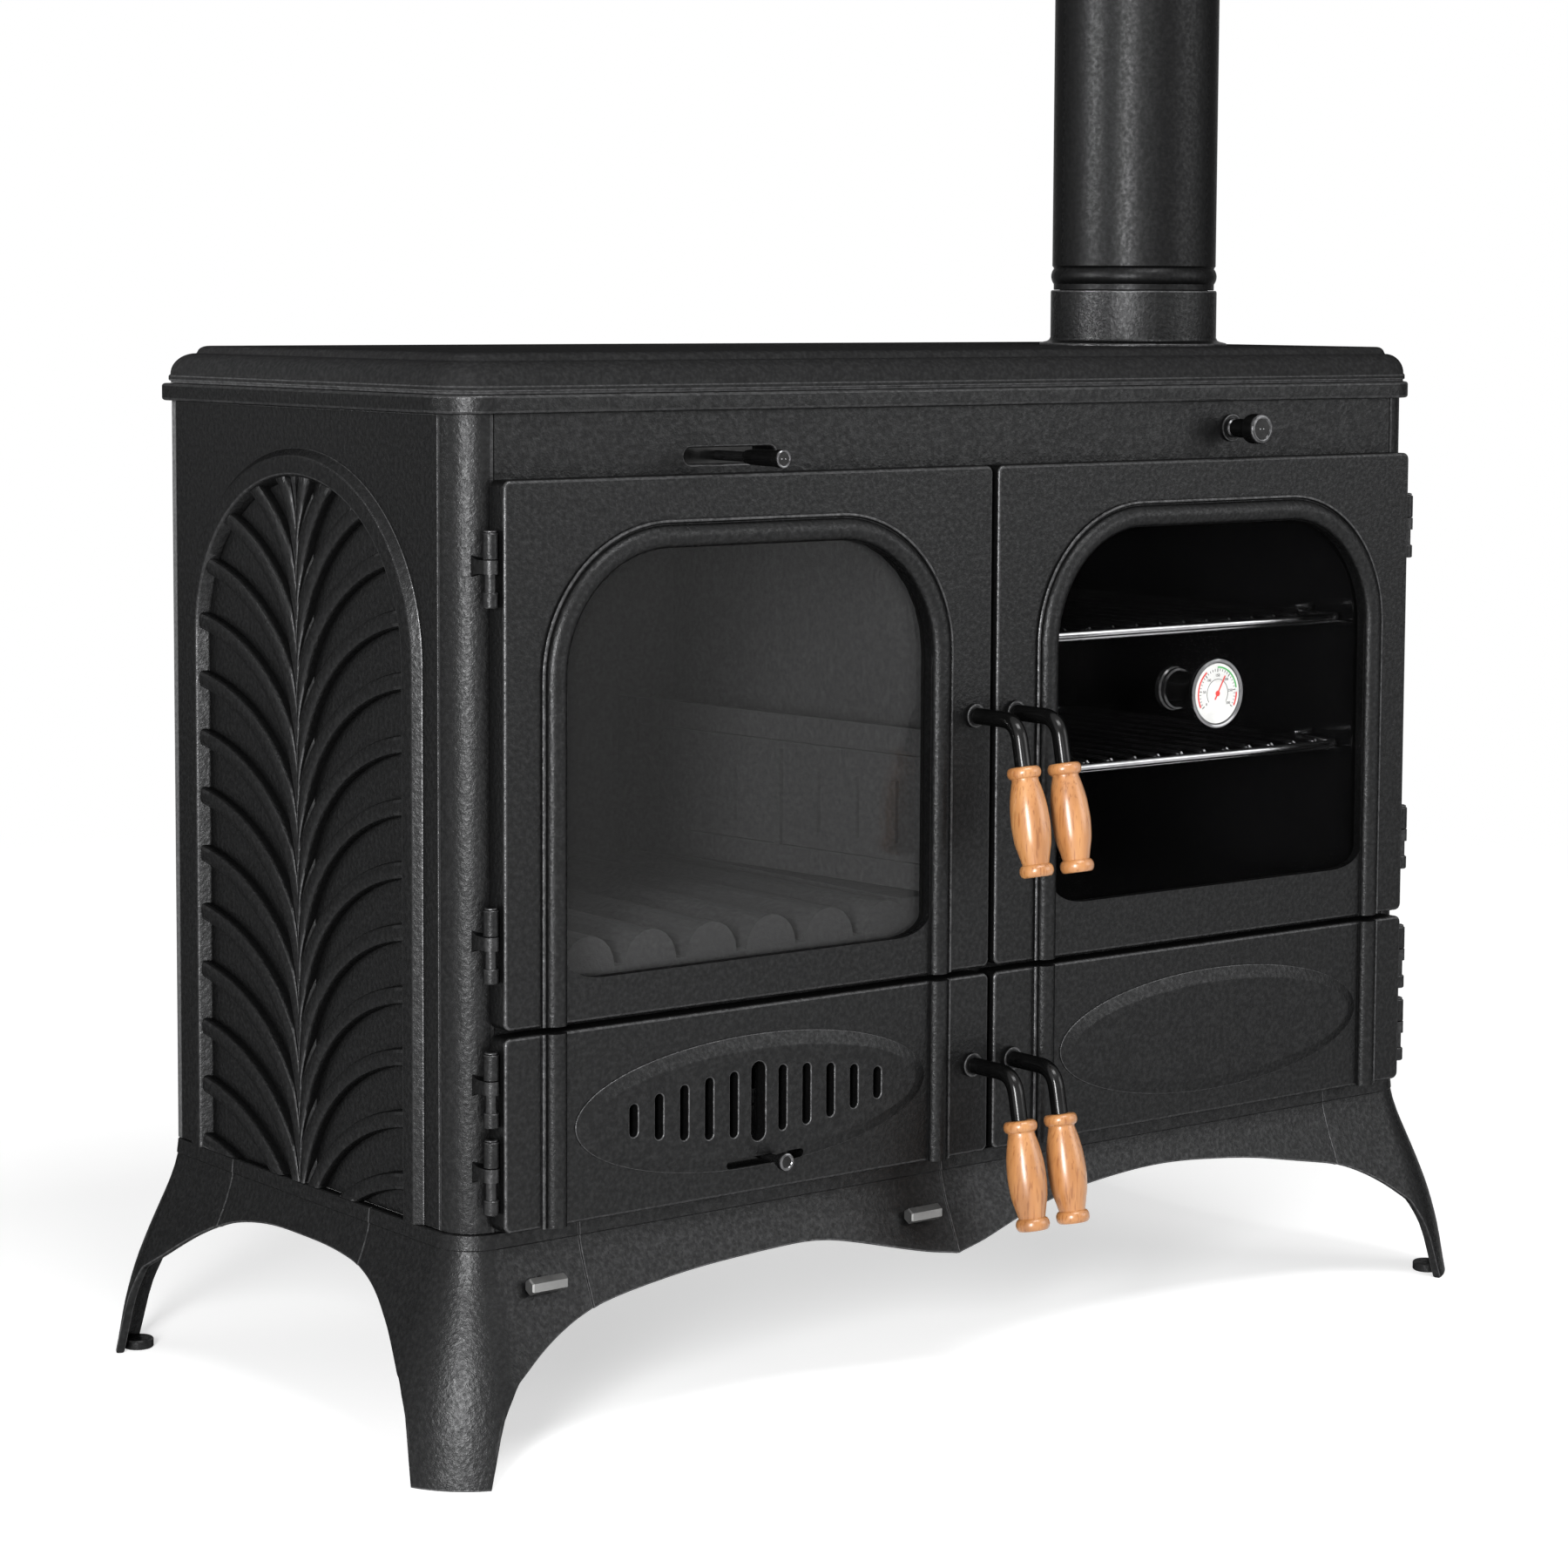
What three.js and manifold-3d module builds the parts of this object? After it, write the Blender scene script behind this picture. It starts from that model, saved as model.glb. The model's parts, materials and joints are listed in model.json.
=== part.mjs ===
// A cast iron range cooker: a glazed firebox over an ash door on the left, a glazed oven over a
// storage door on the right, an ogee cooktop with a round flue, and four splayed corner legs.
// Millimetres, +Z up. The front faces -Y, X runs left to right, and the floor is Z = 0.
import * as THREE from 'three';
import { mergeVertices } from 'three/addons/utils/BufferGeometryUtils.js';
import Module from 'manifold-3d';

const wasm = await Module();
wasm.setup();

// ---------------------------------------------------------------- driving dimensions
const bodyWidth = 1030;
const bodyDepth = 437;
const bodyBottom = 183; // underside of the body panels, on the legs
const rimTop = 820;
const rimThickness = 14.5;
const rimOverhang = 7.5;
const rimBackOverhang = 3;
const rimInset = 20; // how far the rim flange reaches in over the panels
const rimSeam = 38; // the front casting's rim turns the corner up to here
const pillarRadius = 30;
const castWall = 6;
const fit = 0.3; // clearance between pieces that touch

const doorGapCentre = 511;
const doorGap = 6; // between the left-hand and the right-hand doors
const doorMargin = 26; // from the body's side to a door's hinge edge
const upperDoorTop = 756.5;
const upperDoorBottom = 341;
const lowerDoorTop = 335.5;
const lowerDoorBottom = 185.5;
const doorStand = 21; // a door's front face stands this far ahead of the frame
const doorClearance = 0.8;
const doorSkin = 8;
const doorReturn = 6;
const doorCornerRadius = 6;
const doorEase = 2;

const beadWidth = 22;
const beadHeight = 8;
const beadHingeInset = 33;
const beadHandleInset = 43;
const beadTop = 723;
const beadArchRadius = 118;
const fireWindowBottom = 373.5;
const ovenWindowBottom = 385;
const windowCornerWidth = 36;
const windowCornerHeight = 18;
const glassThickness = 4;
const glassLap = 10;
const retainerSheet = 2;
const retainerLip = 5;
const sealWidth = 5;

const hingeOffset = 6.5; // pin axis outside the door's edge
const hingeAxisY = -12;
const pinRadius = 3;
const knuckleRadius = 6;
const knuckleAbove = 20;
const knuckleBelow = 25;
const lugHeight = 10.4;
const lugReach = 13.5;
const knucklePlay = 0.4;
const upperHingeHeights = [408, 692];
const lowerHingeHeights = [231, 298];

const frameBar = 26; // upright of the frame between the two pairs of doors
const openingSide = 45; // from the body's side to a door opening
const upperOpeningTop = 740;
const fireOpeningBottom = 358;
const ovenOpeningBottom = 362;
const lowerOpeningTop = 322;
const lowerOpeningBottom = 192;

const handleSpacing = 44; // between the two handle spindles of a pair
const upperHandleHeight = 551.5;
const lowerHandleHeight = 260.5;
const spindleRadius = 5;
const spindlePlay = 0.3;
const bossRadius = 10;
const bossHeight = 4;
const leverRadius = 6.8;
const leverReach = 54; // from the door face to the turn of the lever
const leverBend = 17;
const leverLean = THREE.MathUtils.degToRad(12);
const gripDrop = 36; // from the spindle down to the top of the grip
const gripLength = 90;
const gripRadius = 16;
const gripBore = 4.3;
const gripBoreDepth = 66;
const tangRadius = 4;
const tangLength = 62;
const camLength = 17;
const camWidth = 10;
const camThickness = 5;

const ovalBand = 12; // width of the oval's sloped edge
const ovalHeight = 4.5;
const ovalHalfHeight = 53.5;
const ovalMargin = 7;
const ovalCentreHeight = 259;
const ovalShift = 2;
const airSlotCount = 11;
const airSlotPitch = 24.3;
const airSlotWidth = 8;
const airSlotReach = 53.6; // length of a slot beside the middle one, before it shortens
const airSlotShortening = 1.12; // times the square of its place from the middle
const centreSlotWidth = 14;
const centreSlotLength = 63.5;
const registerSlotHeight = 211;
const registerSlotStart = 234;
const registerSlotLength = 77;
const registerSlotWidth = 8;
const registerKnobX = 279;
const registerSheet = 2;
const registerHalfLength = 162;
const registerTop = 296;

const airSlotX = 208; // the secondary air slot above the fire door
const airSlotLength = 90;
const airSlotHeight = 13;
const airSlotZ = 770;
const airKnobX = 245;
const airKnobLength = 48;
const airKnobStart = 31;
const airRodRadius = 4;
const knobRadius = 7.2;
const damperFromFlue = 73; // the damper's rod runs this far left of the flue
const damperZ = 782;
const damperRodRadius = 4.5;
const damperKnobRadius = 13;
const damperNeckRadius = 8.5;
const damperRose = 3; // the flat boss on the frame behind the damper knob
const damperRoseRadius = 12;
const damperFace = 40; // front of the damper knob ahead of the frame
const damperPlateBack = 121; // the plate's rear face behind the frame's front
const damperPlateThickness = 3;
const damperPlateHalfWidth = 60;
const damperPlateHalfHeight = 22;

const cooktopLift = 2; // shadow gap between the rim and the cooktop's lip
const cooktopRise = 31; // from the rim up to the cooking surface
const cooktopInset = 3; // the lip inside the rim's edge
const cooktopSkin = 10;
const cooktopBorder = 36;
const flueFromRight = 158; // from the body's right side to the middle of the flue
const flueFromBack = 234;
const flueRadius = 75;
const flueWall = 2;
const flueCollarRadius = 76.2;
const flueCollarHeight = 50;
const flueFlangeRadius = 86;
const flueSpigotRadius = 68;
const flueSeatDepth = 2;
const fluePipeHeight = 500; // above the cooktop

const legWall = 7;
const legProud = 2; // legs and aprons stand this far outside the body
const frontLegSide = 126; // seam with the side apron
const frontLegFront = 106; // seam with the front apron
const rearLegSpan = 98;
const rearCornerRadius = 8;
const footPadRadius = 13;
const footPadHeight = 8;
const gussetSpan = 92;
const apronSeamX = 472;
const apronPoint = 105; // height of the point where the front aprons meet
const legEdge = 77.5; // height of a leg's edge where its corner ends
const pegAcross = 11.5;
const pegLength = 33;
const pegHeight = 142;
const pegCentres = [64, 439];

const archHalfWidth = 179; // the palm-leaf arch on each side casting
const archTop = 773;
const archRise = 159;
const archBandWidth = 22;
const archHeight = 5;
const ribSpineHalf = 1.5;
const ribReach = 152; // from the spine out to the border
const ribRise = 135;
const ribWidth = 16;
const ribHeight = 4.5;
const ribPitch = 47;
const ribCount = 14;

const baseThickness = 6;
const partitionX = 509;
const partitionThickness = 6;
const partitionTop = 775;
const hearthHeight = 346;
const hearthThickness = 8;
const linerThickness = 6;
const linerTop = 760;
const grateBarCount = 7;
const grateBarPitch = 60;
const grateBarRadius = 25;
const grateFirstX = 74;
const grateFront = 24;
const grateRearGap = 40.7; // from the grate back to the rear liner
const grateBed = 17;
const grateShoulder = 16; // from the last bar's middle to the shoulder
const grateBarWall = 6; // the bars are hollow from below
const grateEndWall = 10;
const grateSlot = 8;
const ribbedPlateTop = 534;
const ribbedPlateX = 490;
const ribbedPlateFront = 16;
const ribbedPlateRearGap = 9.7;
const ribbedPlateTurn = THREE.MathUtils.degToRad(7);
const ribbedPlateRelief = 4;
const ribbedPlateRail = 7; // width of its raised bars
const ribbedPlateFoot = 16; // from its lower edge up to the lowest bar
const ribbedPlateHead = 30; // from its top edge down to the highest bar
const ashPanHeight = 70;
const ashPanWall = 2;
const ashPanLip = 120; // width of the finger lip
const ashPanRearGap = 50;

const ovenWall = 3;
const ovenFloor = 365;
const ovenRearGap = 29; // smoke passage between the oven and the back casting
const rackHeights = [490, 606];
const rackRod = 3.5;
const rackRungs = 9;
const rackFront = 30; // from the oven's front edge back to a rack
const rackRear = 6;
const rackStay = 16; // the second cross bar behind the first
const rackClearance = 4;
const runnerDepth = 9;

const thermometerShift = 44.5; // left of the window's middle
const thermometerZ = 560;
const dialRadius = 30;
const dialStand = 50;

// ---------------------------------------------------------------- derived places
const centreX = doorGapCentre;
const leftDoorEnd = centreX - doorGap / 2;
const rightDoorStart = centreX + doorGap / 2;
const rightDoorEnd = bodyWidth - doorMargin;
const barStart = centreX - frameBar / 2;
const barEnd = centreX + frameBar / 2;
const leftAxisX = doorMargin - hingeOffset;
const rightAxisX = rightDoorEnd + hingeOffset;
const leftHandleX = centreX - handleSpacing / 2;
const rightHandleX = centreX + handleSpacing / 2;
const rimBottom = rimTop - rimThickness;
const cooktopTop = rimTop + cooktopRise;
const flueTop = cooktopTop + fluePipeHeight;
const doorSkinBack = -doorStand + doorSkin;
const baseTop = bodyBottom + baseThickness;
const legTop = bodyBottom - fit;
const grateSeat = hearthHeight + hearthThickness;
const grateCrown = grateSeat + fit + grateBed + grateBarRadius + 1;
const panelStart = pillarRadius + fit;
const panelEnd = bodyDepth - castWall - fit;
const flueX = bodyWidth - flueFromRight;
const flueY = bodyDepth - flueFromBack;
const damperX = flueX - damperFromFlue;
const rearLinerFront = panelEnd - linerThickness;
const grateRear = rearLinerFront - grateRearGap;
const ribbedPlateRun = rearLinerFront - ribbedPlateRearGap - ribbedPlateFront;
const ribbedPlateLength = ribbedPlateRun / Math.cos(ribbedPlateTurn);
const ovenBack = bodyDepth - castWall - ovenRearGap;
const ovenWindowMiddle = (rightDoorStart + beadHandleInset + rightDoorEnd - beadHingeInset) / 2;
const thermometerX = ovenWindowMiddle - thermometerShift;
const camY = castWall + 1;
const registerBottom = registerSlotHeight - 9;
const ovenX0 = barEnd - ovenWall - 1;
const ovenX1 = bodyWidth - openingSide + ovenWall + 1;
const ovenTop = upperOpeningTop + ovenWall + 1;

// ---------------------------------------------------------------- materials
const castIron = material(0x2a2b2c, 0.62, 0.35);
const castPlate = material(0x303132, 0.7, 0.3);
const stovePipe = material(0x1f2021, 0.5, 0.3);
const enamel = material(0x0b0b0c, 0.12, 0.0);
const glossBlack = material(0x0a0a0b, 0.18, 0.1);
const beech = material(0xc98a4a, 0.45, 0.0);
const zinc = material(0x9a9a96, 0.35, 0.9);
const chrome = material(0xd5d6d8, 0.12, 1.0);
const rope = material(0x8f8a80, 0.95, 0.0);
const dialWhite = material(0xf2f1ec, 0.5, 0.0);
const smokedGlass = material(0x202224, 0.05, 0.0, 0.45);
const clearGlass = material(0x30343a, 0.05, 0.0, 0.25);

function material(color, roughness, metalness, opacity = 1) {
  return new THREE.MeshStandardMaterial({ color, roughness, metalness, opacity, transparent: opacity < 1 });
}

// ---------------------------------------------------------------- solids from geometry
function solid(geometry) {
  const bare = geometry.clone();
  bare.deleteAttribute('normal');
  bare.deleteAttribute('uv');
  const merged = mergeVertices(bare, 1e-4);
  const index = merged.index.array;
  const triangles = [];
  for (let i = 0; i < index.length; i += 3) {
    const [a, b, c] = [index[i], index[i + 1], index[i + 2]];
    if (a !== b && b !== c && c !== a) triangles.push(a, b, c);
  }
  return new wasm.Manifold(new wasm.Mesh({
    numProp: 3,
    vertProperties: Float32Array.from(merged.attributes.position.array),
    triVerts: Uint32Array.from(triangles),
  }));
}

function geometryOf(body) {
  const mesh = body.getMesh();
  const geometry = new THREE.BufferGeometry();
  geometry.setAttribute('position', new THREE.BufferAttribute(mesh.vertProperties, 3));
  geometry.setIndex(new THREE.BufferAttribute(mesh.triVerts, 1));
  geometry.computeVertexNormals();
  return geometry;
}

function part(name, body, look, parent) {
  const mesh = new THREE.Mesh(geometryOf(body), look);
  mesh.name = name;
  parent.add(mesh);
  return mesh;
}

function join(...bodies) {
  return bodies.reduce((all, body) => all.add(body));
}

function cut(body, ...tools) {
  return tools.reduce((rest, tool) => rest.subtract(tool), body);
}

function block(x0, x1, y0, y1, z0, z1) {
  const geometry = new THREE.BoxGeometry(x1 - x0, y1 - y0, z1 - z0);
  geometry.translate((x0 + x1) / 2, (y0 + y1) / 2, (z0 + z1) / 2);
  return solid(geometry);
}

function vec(x, y, z) {
  return new THREE.Vector3(x, y, z);
}

// A round bar from one point to another, as a prism of the given number of sides.
function bar(start, end, radius, sides) {
  const span = end.clone().sub(start);
  const geometry = new THREE.CylinderGeometry(radius, radius, span.length(), sides);
  const up = vec(0, 1, 0);
  geometry.applyQuaternion(new THREE.Quaternion().setFromUnitVectors(up, span.normalize()));
  const middle = start.clone().add(end).multiplyScalar(0.5);
  geometry.translate(middle.x, middle.y, middle.z);
  return solid(geometry);
}

// A solid of revolution about the vertical through (x, y), from [radius, z] pairs.
function turned(profile, sides, x = 0, y = 0) {
  const points = profile.map(([radius, z]) => new THREE.Vector2(radius, z));
  const geometry = new THREE.LatheGeometry(points, sides);
  geometry.rotateX(Math.PI / 2);
  geometry.translate(x, y, 0);
  return solid(geometry);
}

// The same, about a line along Y through (x, z), from [radius, y] pairs.
function turnedAlongY(profile, sides, x, z) {
  const points = profile.map(([radius, y]) => new THREE.Vector2(radius, y));
  const geometry = new THREE.LatheGeometry(points, sides);
  geometry.translate(x, 0, z);
  return solid(geometry);
}

function extruded(shape, depth, ease, curveSegments, easeSteps) {
  const geometry = new THREE.ExtrudeGeometry(shape, {
    depth: depth - 2 * ease,
    curveSegments,
    bevelEnabled: ease > 0,
    bevelThickness: ease,
    bevelSize: ease,
    bevelOffset: -ease,
    bevelSegments: easeSteps,
  });
  geometry.translate(0, 0, ease);
  return geometry;
}

// A shape drawn in X and Z, given thickness along Y.
function slab(shape, y0, y1, { ease = 0, curveSegments = 3, easeSteps = 1 } = {}) {
  const geometry = extruded(shape, y1 - y0, ease, curveSegments, easeSteps);
  geometry.rotateX(Math.PI / 2);
  geometry.translate(0, y1, 0);
  return solid(geometry);
}

// A shape drawn in Y and Z, given thickness along X.
function sideSlab(shape, x0, x1, { ease = 0, curveSegments = 4, easeSteps = 1 } = {}) {
  const geometry = extruded(shape, x1 - x0, ease, curveSegments, easeSteps);
  geometry.applyMatrix4(new THREE.Matrix4().makeBasis(vec(0, 1, 0), vec(0, 0, 1), vec(1, 0, 0)));
  geometry.translate(x0, 0, 0);
  return solid(geometry);
}

// A shape drawn in X and Y, given height along Z.
function floorSlab(shape, z0, z1, curveSegments = 3) {
  const geometry = extruded(shape, z1 - z0, 0, curveSegments, 1);
  geometry.translate(0, 0, z0);
  return solid(geometry);
}

function polygon(points) {
  return new THREE.Shape(points.map(([x, y]) => new THREE.Vector2(x, y)));
}

function roundedRectangle(x0, x1, z0, z1, radius) {
  const shape = new THREE.Shape();
  shape.moveTo(x0 + radius, z0);
  shape.lineTo(x1 - radius, z0);
  shape.absarc(x1 - radius, z0 + radius, radius, -Math.PI / 2, 0);
  shape.lineTo(x1, z1 - radius);
  shape.absarc(x1 - radius, z1 - radius, radius, 0, Math.PI / 2);
  shape.lineTo(x0 + radius, z1);
  shape.absarc(x0 + radius, z1 - radius, radius, Math.PI / 2, Math.PI);
  shape.lineTo(x0, z0 + radius);
  shape.absarc(x0 + radius, z0 + radius, radius, Math.PI, 1.5 * Math.PI);
  return shape;
}

// A slot with round ends, upright or lying.
function slotShape(x0, x1, z0, z1) {
  return roundedRectangle(x0, x1, z0, z1, Math.min(x1 - x0, z1 - z0) / 2 - 0.01);
}

// A window outline: broad round top corners and low elliptical bottom ones.
function windowShape(x0, x1, z0, z1, radius, cornerWidth, cornerHeight) {
  const shape = new THREE.Shape();
  shape.moveTo(x0 + cornerWidth, z0);
  shape.lineTo(x1 - cornerWidth, z0);
  shape.absellipse(x1 - cornerWidth, z0 + cornerHeight, cornerWidth, cornerHeight, -Math.PI / 2, 0);
  shape.lineTo(x1, z1 - radius);
  shape.absarc(x1 - radius, z1 - radius, radius, 0, Math.PI / 2);
  shape.lineTo(x0 + radius, z1);
  shape.absarc(x0 + radius, z1 - radius, radius, Math.PI / 2, Math.PI);
  shape.lineTo(x0, z0 + cornerHeight);
  shape.absellipse(x0 + cornerWidth, z0 + cornerHeight, cornerWidth, cornerHeight, Math.PI, 1.5 * Math.PI);
  return shape;
}

// An inverted U of constant width, open at the bottom.
function archBand(x0, x1, z0, z1, radius, width) {
  const inner = radius - width;
  const shape = new THREE.Shape();
  shape.moveTo(x0, z0);
  shape.lineTo(x0 + width, z0);
  shape.lineTo(x0 + width, z1 - radius);
  shape.absarc(x0 + radius, z1 - radius, inner, Math.PI, Math.PI / 2, true);
  shape.lineTo(x1 - radius, z1 - width);
  shape.absarc(x1 - radius, z1 - radius, inner, Math.PI / 2, 0, true);
  shape.lineTo(x1 - width, z0);
  shape.lineTo(x1, z0);
  shape.lineTo(x1, z1 - radius);
  shape.absarc(x1 - radius, z1 - radius, radius, 0, Math.PI / 2);
  shape.lineTo(x0 + radius, z1);
  shape.absarc(x0 + radius, z1 - radius, radius, Math.PI / 2, Math.PI);
  return shape;
}

function ellipseShape(x, z, halfWidth, halfHeight) {
  const shape = new THREE.Shape();
  shape.absellipse(x, z, halfWidth, halfHeight, 0, 2 * Math.PI);
  return shape;
}

// A smooth curve through [x, value] points that never overshoots them, read at one x.
function smoothValue(points, x) {
  let i = 1;
  while (i < points.length - 1 && x > points[i][0]) i += 1;
  const slope = (k) => (points[k][1] - points[k - 1][1]) / (points[k][0] - points[k - 1][0]);
  const knotSlope = (a, b) => (a * b > 0 ? (2 * a * b) / (a + b) : 0);
  const here = slope(i);
  const before = i > 1 ? knotSlope(slope(i - 1), here) : here;
  const after = i < points.length - 1 ? knotSlope(here, slope(i + 1)) : here;
  const span = points[i][0] - points[i - 1][0];
  const t = THREE.MathUtils.clamp((x - points[i - 1][0]) / span, 0, 1);
  const s = 1 - t;
  const ends = points[i - 1][1] * (1 + 2 * t) * s * s + points[i][1] * t * t * (3 - 2 * t);
  return ends + span * t * s * (before * s - after * t);
}

// ---------------------------------------------------------------- legs and aprons
// How far the legs and aprons splay outwards at each height above the floor.
const splay = [
  [0, 55], [10, 53], [43, 47], [76, 38], [106, 26.5], [129, 16.5], [150, 7.5], [170, 1.5], [bodyBottom, 0],
];
// The lower edge across each corner, as [degrees from the diagonal, height].
const footEdge = [[0, 0], [20.9, 0], [25, 26], [29.8, 49.3], [36, 64], [41.6, 74.3], [45, legEdge]];
// The lower edge as it leaves each corner, as [distance from the corner, height].
const frontLegCurve = [[57.4, 96.2], [97.2, 114.7], [141.7, 123.2]];
const sideLegCurve = [[42, 89], [77.7, 117.5], [124, 138]];
const rearLegCurve = [[33, 92], [75, 117.5], [130, 137]];
// The lower edge along each side, as [distance, height].
const frontEdge = [
  [pillarRadius, legEdge], ...frontLegCurve, [230, 132], [326, 135],
  [384, 124], [436, 111], [apronSeamX, apronPoint],
];
const alongRight = (share) => apronSeamX + (bodyWidth - frontLegFront - apronSeamX) * share;
const frontEdgeRight = [
  [apronSeamX, apronPoint], [alongRight(0.08), 112.4], [alongRight(0.16), 123],
  [alongRight(0.35), 138.6], [alongRight(0.535), 143.5], [alongRight(0.745), 136.7],
  ...frontLegCurve.map(([away, height]) => [bodyWidth - away, height]).reverse(),
  [bodyWidth - pillarRadius, legEdge],
];
const sideArchStart = bodyDepth * 0.435; // the side apron's edge runs level between two such points
const sideEdge = [
  [pillarRadius, legEdge], ...sideLegCurve, [sideArchStart, 143.5],
  [bodyDepth - sideArchStart, 143.5],
  ...rearLegCurve.map(([away, height]) => [bodyDepth - away, height]).reverse(),
  [bodyDepth - rearCornerRadius, legEdge],
];
const rearEdge = [
  [rearCornerRadius, legEdge], [57, 98], [97, 115], [180, 133], [330, 143], [bodyWidth / 2, 146],
];
const cornerSteps = [-45, -39, -31, -25.4, -20.9, -10.5, 0, 10.5, 20.9, 25.4, 31, 39, 45];

function splayAt(height) {
  return smoothValue(splay, height);
}

// A wall that splays as it comes down. Each column stands on one point of the body's outline
// and gives the outward direction there and the height of the lower edge.
function splayedWall(columns, rows) {
  const positions = [];
  const place = (column, height, depth) => {
    const out = splayAt(height) + legProud - depth;
    positions.push(column.x + column.nx * out, column.y + column.ny * out, height);
  };
  for (const depth of [0, legWall]) {
    for (const column of columns) {
      for (let j = 0; j <= rows; j += 1) {
        place(column, legTop + ((column.low - legTop) * j) / rows, depth);
      }
    }
  }
  const across = rows + 1;
  const inner = columns.length * across;
  const triangles = [];
  const quad = (a, b, c, d) => triangles.push(a, b, c, a, c, d);
  const last = (columns.length - 1) * across;
  for (let i = 0; i + 1 < columns.length; i += 1) {
    const a = i * across;
    const b = a + across;
    for (let j = 0; j < rows; j += 1) {
      quad(a + j, a + j + 1, b + j + 1, b + j);
      quad(inner + a + j, inner + b + j, inner + b + j + 1, inner + a + j + 1);
    }
    quad(a, b, inner + b, inner + a);
    quad(a + rows, inner + a + rows, inner + b + rows, b + rows);
  }
  for (let j = 0; j < rows; j += 1) {
    quad(j, inner + j, inner + j + 1, j + 1);
    quad(last + j, last + j + 1, inner + last + j + 1, inner + last + j);
  }
  return outwardSolid(positions, triangles);
}

function outwardSolid(positions, triangles) {
  let volume = 0;
  const point = (i) => vec(positions[3 * i], positions[3 * i + 1], positions[3 * i + 2]);
  for (let i = 0; i < triangles.length; i += 3) {
    volume += point(triangles[i]).dot(point(triangles[i + 1]).cross(point(triangles[i + 2])));
  }
  if (volume < 0) triangles.reverse();
  const geometry = new THREE.BufferGeometry();
  geometry.setAttribute('position', new THREE.Float32BufferAttribute(positions, 3));
  geometry.setIndex(triangles);
  return solid(geometry);
}

// Columns along a straight wall. The wall runs from one distance to another.
function wallColumns(from, to, count, at) {
  return Array.from({ length: count + 1 }, (_, i) => at(from + ((to - from) * i) / count));
}

function frontColumn(x) {
  const edge = x < apronSeamX ? frontEdge : frontEdgeRight;
  return { x, y: 0, nx: 0, ny: -1, low: smoothValue(edge, x) };
}

function sideColumn(right) {
  return (y) => ({ x: right ? bodyWidth : 0, y, nx: right ? 1 : -1, ny: 0, low: smoothValue(sideEdge, y) });
}

function rearColumn(x) {
  const fromCorner = Math.min(x, bodyWidth - x);
  return { x, y: bodyDepth, nx: 0, ny: 1, low: smoothValue(rearEdge, fromCorner) };
}

// One leg: the splayed corner shell, a gusset under the body and a pad inside the foot.
function leg(right, rear) {
  const radius = rear ? rearCornerRadius : pillarRadius;
  const sx = right ? -1 : 1;
  const sy = rear ? -1 : 1;
  const cornerX = right ? bodyWidth : 0;
  const cornerY = rear ? bodyDepth : 0;
  const sideSpan = rear ? rearLegSpan : frontLegSide;
  const frontSpan = rear ? rearLegSpan : frontLegFront;
  const side = sideColumn(right);
  const facing = rear ? rearColumn : frontColumn;
  const atSide = (w) => side(cornerY + sy * w);
  const atFront = (w) => facing(cornerX + sx * w);
  const corner = cornerSteps.slice(1, -1).map((degrees) => {
    const angle = THREE.MathUtils.degToRad(45 + degrees);
    const nx = -sx * Math.cos(angle);
    const ny = -sy * Math.sin(angle);
    return {
      x: cornerX + sx * radius + radius * nx,
      y: cornerY + sy * radius + radius * ny,
      nx,
      ny,
      low: smoothValue(footEdge, Math.abs(degrees)),
    };
  });
  const sideRun = wallColumns(sideSpan, radius, 3, atSide);
  const frontRun = wallColumns(radius, frontSpan, 3, atFront);
  const shell = splayedWall([...sideRun, ...corner, ...frontRun], 5);
  const skin = legWall - legProud - 1;
  const gusset = polygon([
    [skin, radius], [radius, skin], [gussetSpan, skin], [skin, gussetSpan],
  ].map(([x, y]) => [cornerX + sx * x, cornerY + sy * y]));
  const padOut = splayAt(0) + legProud - legWall - footPadRadius + 3;
  const padX = cornerX + sx * (radius - (radius + padOut) * Math.SQRT1_2);
  const padY = cornerY + sy * (radius - (radius + padOut) * Math.SQRT1_2);
  return join(
    shell,
    floorSlab(gusset, legTop - 7, legTop),
    turned([
      [0, 0], [footPadRadius, 0], [footPadRadius, footPadHeight], [0, footPadHeight],
    ], 10, padX, padY),
  );
}

function pegLug(x) {
  const surface = splayAt(pegHeight) + legProud;
  return bar(vec(x, -surface + 4, pegHeight), vec(x, -pegFrontY() - fit, pegHeight), 4, 10);
}

// The depth of a peg's flat back ahead of the front frame's plane.
function pegFrontY() {
  return splayAt(pegHeight) + legProud + 2;
}

function peg(x) {
  const radius = pegAcross / Math.sqrt(3);
  const y = -pegFrontY() - fit * 2 - pegAcross / 2;
  const from = vec(x - pegLength / 2, y, pegHeight);
  const to = vec(x + pegLength / 2, y, pegHeight);
  return bar(from, to, radius, 6);
}

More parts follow.
